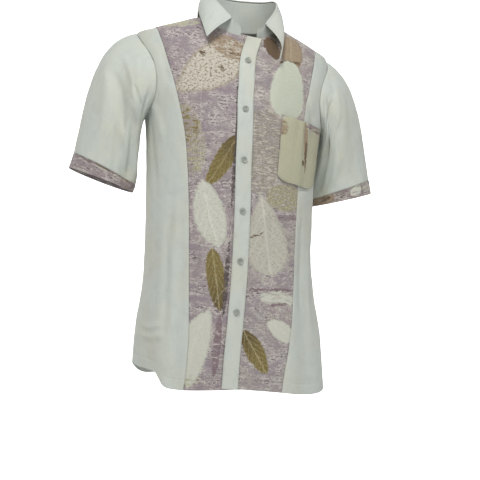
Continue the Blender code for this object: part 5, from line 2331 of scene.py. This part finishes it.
@dataclass
class Shirt:
    """The whole shirt: its pieces in the order of making."""

    body: Body = field(default_factory=Body)
    sewn: dict[str, Cloth] = field(default_factory=dict)

    def pieces(self) -> list[Cloth]:
        """All the pieces of cloth with their cuts.

        Returns:
            The pieces, not yet built.
        """
        self.body.crease()
        cutter = Cutter(self.body)
        plain = Linen().make()
        prints = {
            name: LeafPrint(f"leaf_print_{name}", leaves, beige, ground).make(body)
            for name, leaves, beige, ground, body in (
                ("right", RIGHT_LEAVES, 0.25, tone(152, 142, 145), self.body),
                ("left", LEFT_LEAVES, 0.45, tone(157, 151, 151), self.body),
                ("pocket", POCKET_LEAVES, 0.35, tone(158, 146, 150), self.body),
                ("cuff_right", RIGHT_CUFF_LEAVES, 0.2, tone(146, 134, 136), None),
                ("cuff_left", LEFT_CUFF_LEAVES, 0.4, tone(128, 117, 113), None),
            )
        }
        lines = CollarLines(self.body)
        seams, hem = ("left", "right", "top"), ("bottom",)
        pink, grey = "leaf_print_cloth", "plain_cloth"
        sizes = {
            "right": (((0.25, 0.75), 0.085), ((0.165, 0.74), 0.074), ((0.47, 0.275), 0.083),
                      ((0.375, 0.029), 0.0082)),
            "left": (((0.19, 0.74), 0.079), ((0.18, 0.72), 0.074), ((0.455, 0.26), 0.072),
                     ((0.364, 0.027), 0.0076)),
        }
        made = [
            Cloth("back_cloth", cutter.back_panel(), plain, grey, (0.52, 0.81), 0.318, "hung", (),
                  0.0032, seams, hem),
        ]
        for side, word in ((-1, "right"), (1, "left")):
            panel, flank, sleeve, band = sizes[word]
            made.append(
                Cloth(f"front_{word}_panel_cloth", cutter.print_panel(side), prints[word], pink,
                      *panel, "hung", ("back_cloth",), 0.0022, seams, hem)
            )
            made.append(
                Cloth(f"front_{word}_side_cloth", cutter.side_panel(side), plain, grey,
                      *flank, "hung", ("back_cloth",), 0.0022, seams, hem)
            )
            made.append(
                Cloth(f"sleeve_{word}_cloth", SleevePatch(self.body, word, 0.0, CUFF_SHARE), plain,
                      grey, *sleeve, "hung", ("back_cloth",), 0.0024, ("bottom", "top"))
            )
            cuff = SleevePatch(self.body, word, CUFF_SHARE, 1.0, 0.0005)
            made.append(
                Cloth(f"cuff_{word}_cloth", cuff, prints[f"cuff_{word}"], pink, *band, "hung",
                      (f"sleeve_{word}_cloth",), 0.002, ("bottom",), ("top",), 0.027)
            )
        made += [
            Cloth("placket_cloth", PlacketPatch(self.body), plain, grey, (0.031, 0.667), None,
                  "hung", ("front_right_panel_cloth",), 0.002),
            Cloth("pocket_cloth", PocketPatch(self.body), prints["pocket"], pink, (0.12, 0.12),
                  None, "hung", ("front_left_panel_cloth",), 0.0016),
            Cloth("collar_stand_cloth", StandPatch(lines), plain, grey, (0.46, 0.057), 0.019,
                  "folded", ("back_cloth",), 0.0018, rough=0.5),
            Cloth("collar_fall_cloth", FallPatch(lines), plain, grey, (0.525, 0.091), 0.0257,
                  "folded", ("collar_stand_cloth",), 0.0016, rough=0.5),
        ]
        return made

    def build(self) -> None:
        """Builds the cloth, the sewing and the buttons."""
        for cloth in self.pieces():
            cloth.build()
            self.sewn[cloth.name] = cloth
        self.sew()
        horn, thread = Plastic().make(), Thread(name="button_thread").make()
        for number, level in enumerate(BUTTON_LEVELS, start=1):
            Button(number, level, self.body, horn, thread).build()
            LOG.info("button_%d: sewn on", number)

    def sew(self) -> None:
        """Lays the rows of stitches."""
        grey = Sewing(Thread().make())
        mauve = Sewing(Thread("print_thread", tone(176, 164, 164)).make())
        part = self.sewn
        band, pocket = part["placket_cloth"], part["pocket_cloth"]
        grey.build(
            "band_stitches", "plain_cloth",
            [(band, ((u, 0.01), (u, 0.985))) for u in (BAND_ROW, 1.0 - BAND_ROW)],
        )
        low, high = POCKET_ROW, 1.0 - POCKET_ROW
        path = ((low, 0.99), (low, 0.03), (high, 0.03), (high, 0.99))
        mauve.build(
            "pocket_stitches", "leaf_print_cloth",
            [(pocket, path), (pocket, ((low, POCKET_TOP_ROW), (high, POCKET_TOP_ROW)))],
        )
        fall, stand = part["collar_fall_cloth"], part["collar_stand_cloth"]
        low, high = COLLAR_ROW, 1.0 - COLLAR_ROW
        edge = ((low, 0.34), (low, COLLAR_EDGE_ROW), (high, COLLAR_EDGE_ROW), (high, 0.34))
        grey.build(
            "collar_stitches", "plain_cloth",
            [(fall, edge), (stand, ((0.01, STAND_ROW), (0.99, STAND_ROW)))],
        )
        for word in ("right", "left"):
            cuff = part[f"cuff_{word}_cloth"]
            mauve.build(
                f"cuff_{word}_stitches", "leaf_print_cloth",
                [(cuff, ((0.0, BAND_ROW), (0.5, BAND_ROW), (0.999, BAND_ROW)))],
            )
        rows = []
        for name in ("front_right_panel", "front_right_side", "front_left_panel",
                     "front_left_side", "back"):
            rows.append((part[f"{name}_cloth"], tuple((u, HEM_ROW) for u in (0.0, 0.5, 1.0))))
        grey.build("hem_stitches", "plain_cloth", rows)


@dataclass
class Studio:
    """Camera, lights and the pale floor."""

    yaw: float = math.radians(-12.0)
    roll: float = math.radians(4.0)
    distance: float = 2.5
    lens: float = 97.65
    aim: tuple[float, float, float] = (0.02856, -0.00607, -0.41757)
    floor_z: float = -1.25

    def camera(self) -> None:
        """Places the camera in front, turned a little."""
        view = Vector((-math.sin(self.yaw), math.cos(self.yaw), 0.0))
        right, up = Vector((math.cos(self.yaw), math.sin(self.yaw), 0.0)), Vector((0.0, 0.0, 1.0))
        across = right * math.cos(self.roll) + up * math.sin(self.roll)
        over = up * math.cos(self.roll) - right * math.sin(self.roll)
        data = bpy.data.cameras.new("camera")
        data.lens, data.sensor_width = self.lens, 36.0
        eye = bpy.data.objects.new("camera", data)
        eye.matrix_world = Matrix((across, over, -view)).transposed().to_4x4()
        eye.location = Vector(self.aim) - view * self.distance
        bpy.context.scene.collection.objects.link(eye)
        bpy.context.scene.camera = eye

    def light(self, name: str, spot: tuple, size: float, power: float, warm: float) -> None:
        """Adds one soft lamp aimed at the shirt.

        Args:
            name: Its name.
            spot: Where it stands.
            size: Width of its face, in metres.
            power: Its power, in watts.
            warm: How much warmer than white it is.
        """
        data = bpy.data.lights.new(name, "AREA")
        data.shape, data.size, data.energy = "DISK", size, power
        data.color = (1.0, 1.0 - 0.3 * warm, 1.0 - warm)
        lamp = bpy.data.objects.new(name, data)
        lamp.location = spot
        aim = Vector(self.aim) - Vector(spot)
        lamp.rotation_euler = aim.to_track_quat("-Z", "Y").to_euler()
        bpy.context.scene.collection.objects.link(lamp)

    def sweep(self) -> None:
        """Lays the pale floor, which curves up into a wall behind."""
        bend = [(math.sin(a), 1.0 - math.cos(a)) for a in np.linspace(0, 1.57, 13)]
        line = [(-4.0, 0.0), *((3.2 + 1.2 * y, 1.2 * z) for y, z in bend), (4.4, 4.5)]
        mesh = bmesh.new()
        rim = [mesh.verts.new((-5.0, y, self.floor_z + z)) for y, z in line]
        edges = [mesh.edges.new(pair) for pair in zip(rim, rim[1:])]
        made = bmesh.ops.extrude_edge_only(mesh, edges=edges)
        moved = [item for item in made["geom"] if isinstance(item, bmesh.types.BMVert)]
        bmesh.ops.translate(mesh, verts=moved, vec=(10.0, 0.0, 0.0))
        bmesh.ops.recalc_face_normals(mesh, faces=mesh.faces)
        for face in mesh.faces:
            face.smooth = True
        kit = ShaderKit("floor_white")
        kit.shader.inputs["Base Color"].default_value = (0.9, 0.9, 0.9, 1.0)
        kit.shader.inputs["Roughness"].default_value = 1.0
        kit.shader.inputs["Specular IOR Level"].default_value = 0.0
        spot = kit.wire(kit.node("ShaderNodeTexCoord", {}, {}), "Object")
        parts = kit.node("ShaderNodeSeparateXYZ", {}, {0: spot})
        far = kit.rise(kit.wire(parts, 1), 0.4, 1.7)
        glow = kit.mix((0.12, 0.12, 0.12, 1.0), (1.0, 1.0, 1.0, 1.0), far)
        kit.tree.links.new(glow.socket, kit.shader.inputs["Emission Color"])
        kit.shader.inputs["Emission Strength"].default_value = 0.85
        placed("floor", mesh, kit.material)

    def build(self) -> None:
        """Sets up the studio."""
        self.camera()
        self.light("key_light", (-0.8, -1.7, 1.9), 0.9, 53.0, 0.02)
        self.light("fill_light", (1.4, -2.3, 0.9), 1.3, 17.0, 0.0)
        world = bpy.data.worlds.new("pale_room")
        world.use_nodes = True
        back = world.node_tree.nodes["Background"]
        back.inputs["Color"].default_value = (1.0, 1.0, 1.0, 1.0)
        back.inputs["Strength"].default_value = 0.3
        bpy.context.scene.world = world
        bpy.context.scene.view_settings.view_transform = "Standard"
        self.sweep()


def main() -> None:
    """Builds the shirt and the studio."""
    logging.basicConfig(level=logging.INFO, format="%(name)s: %(message)s")
    Studio().build()
    Shirt().build()


if __name__ == "__main__":
    main()
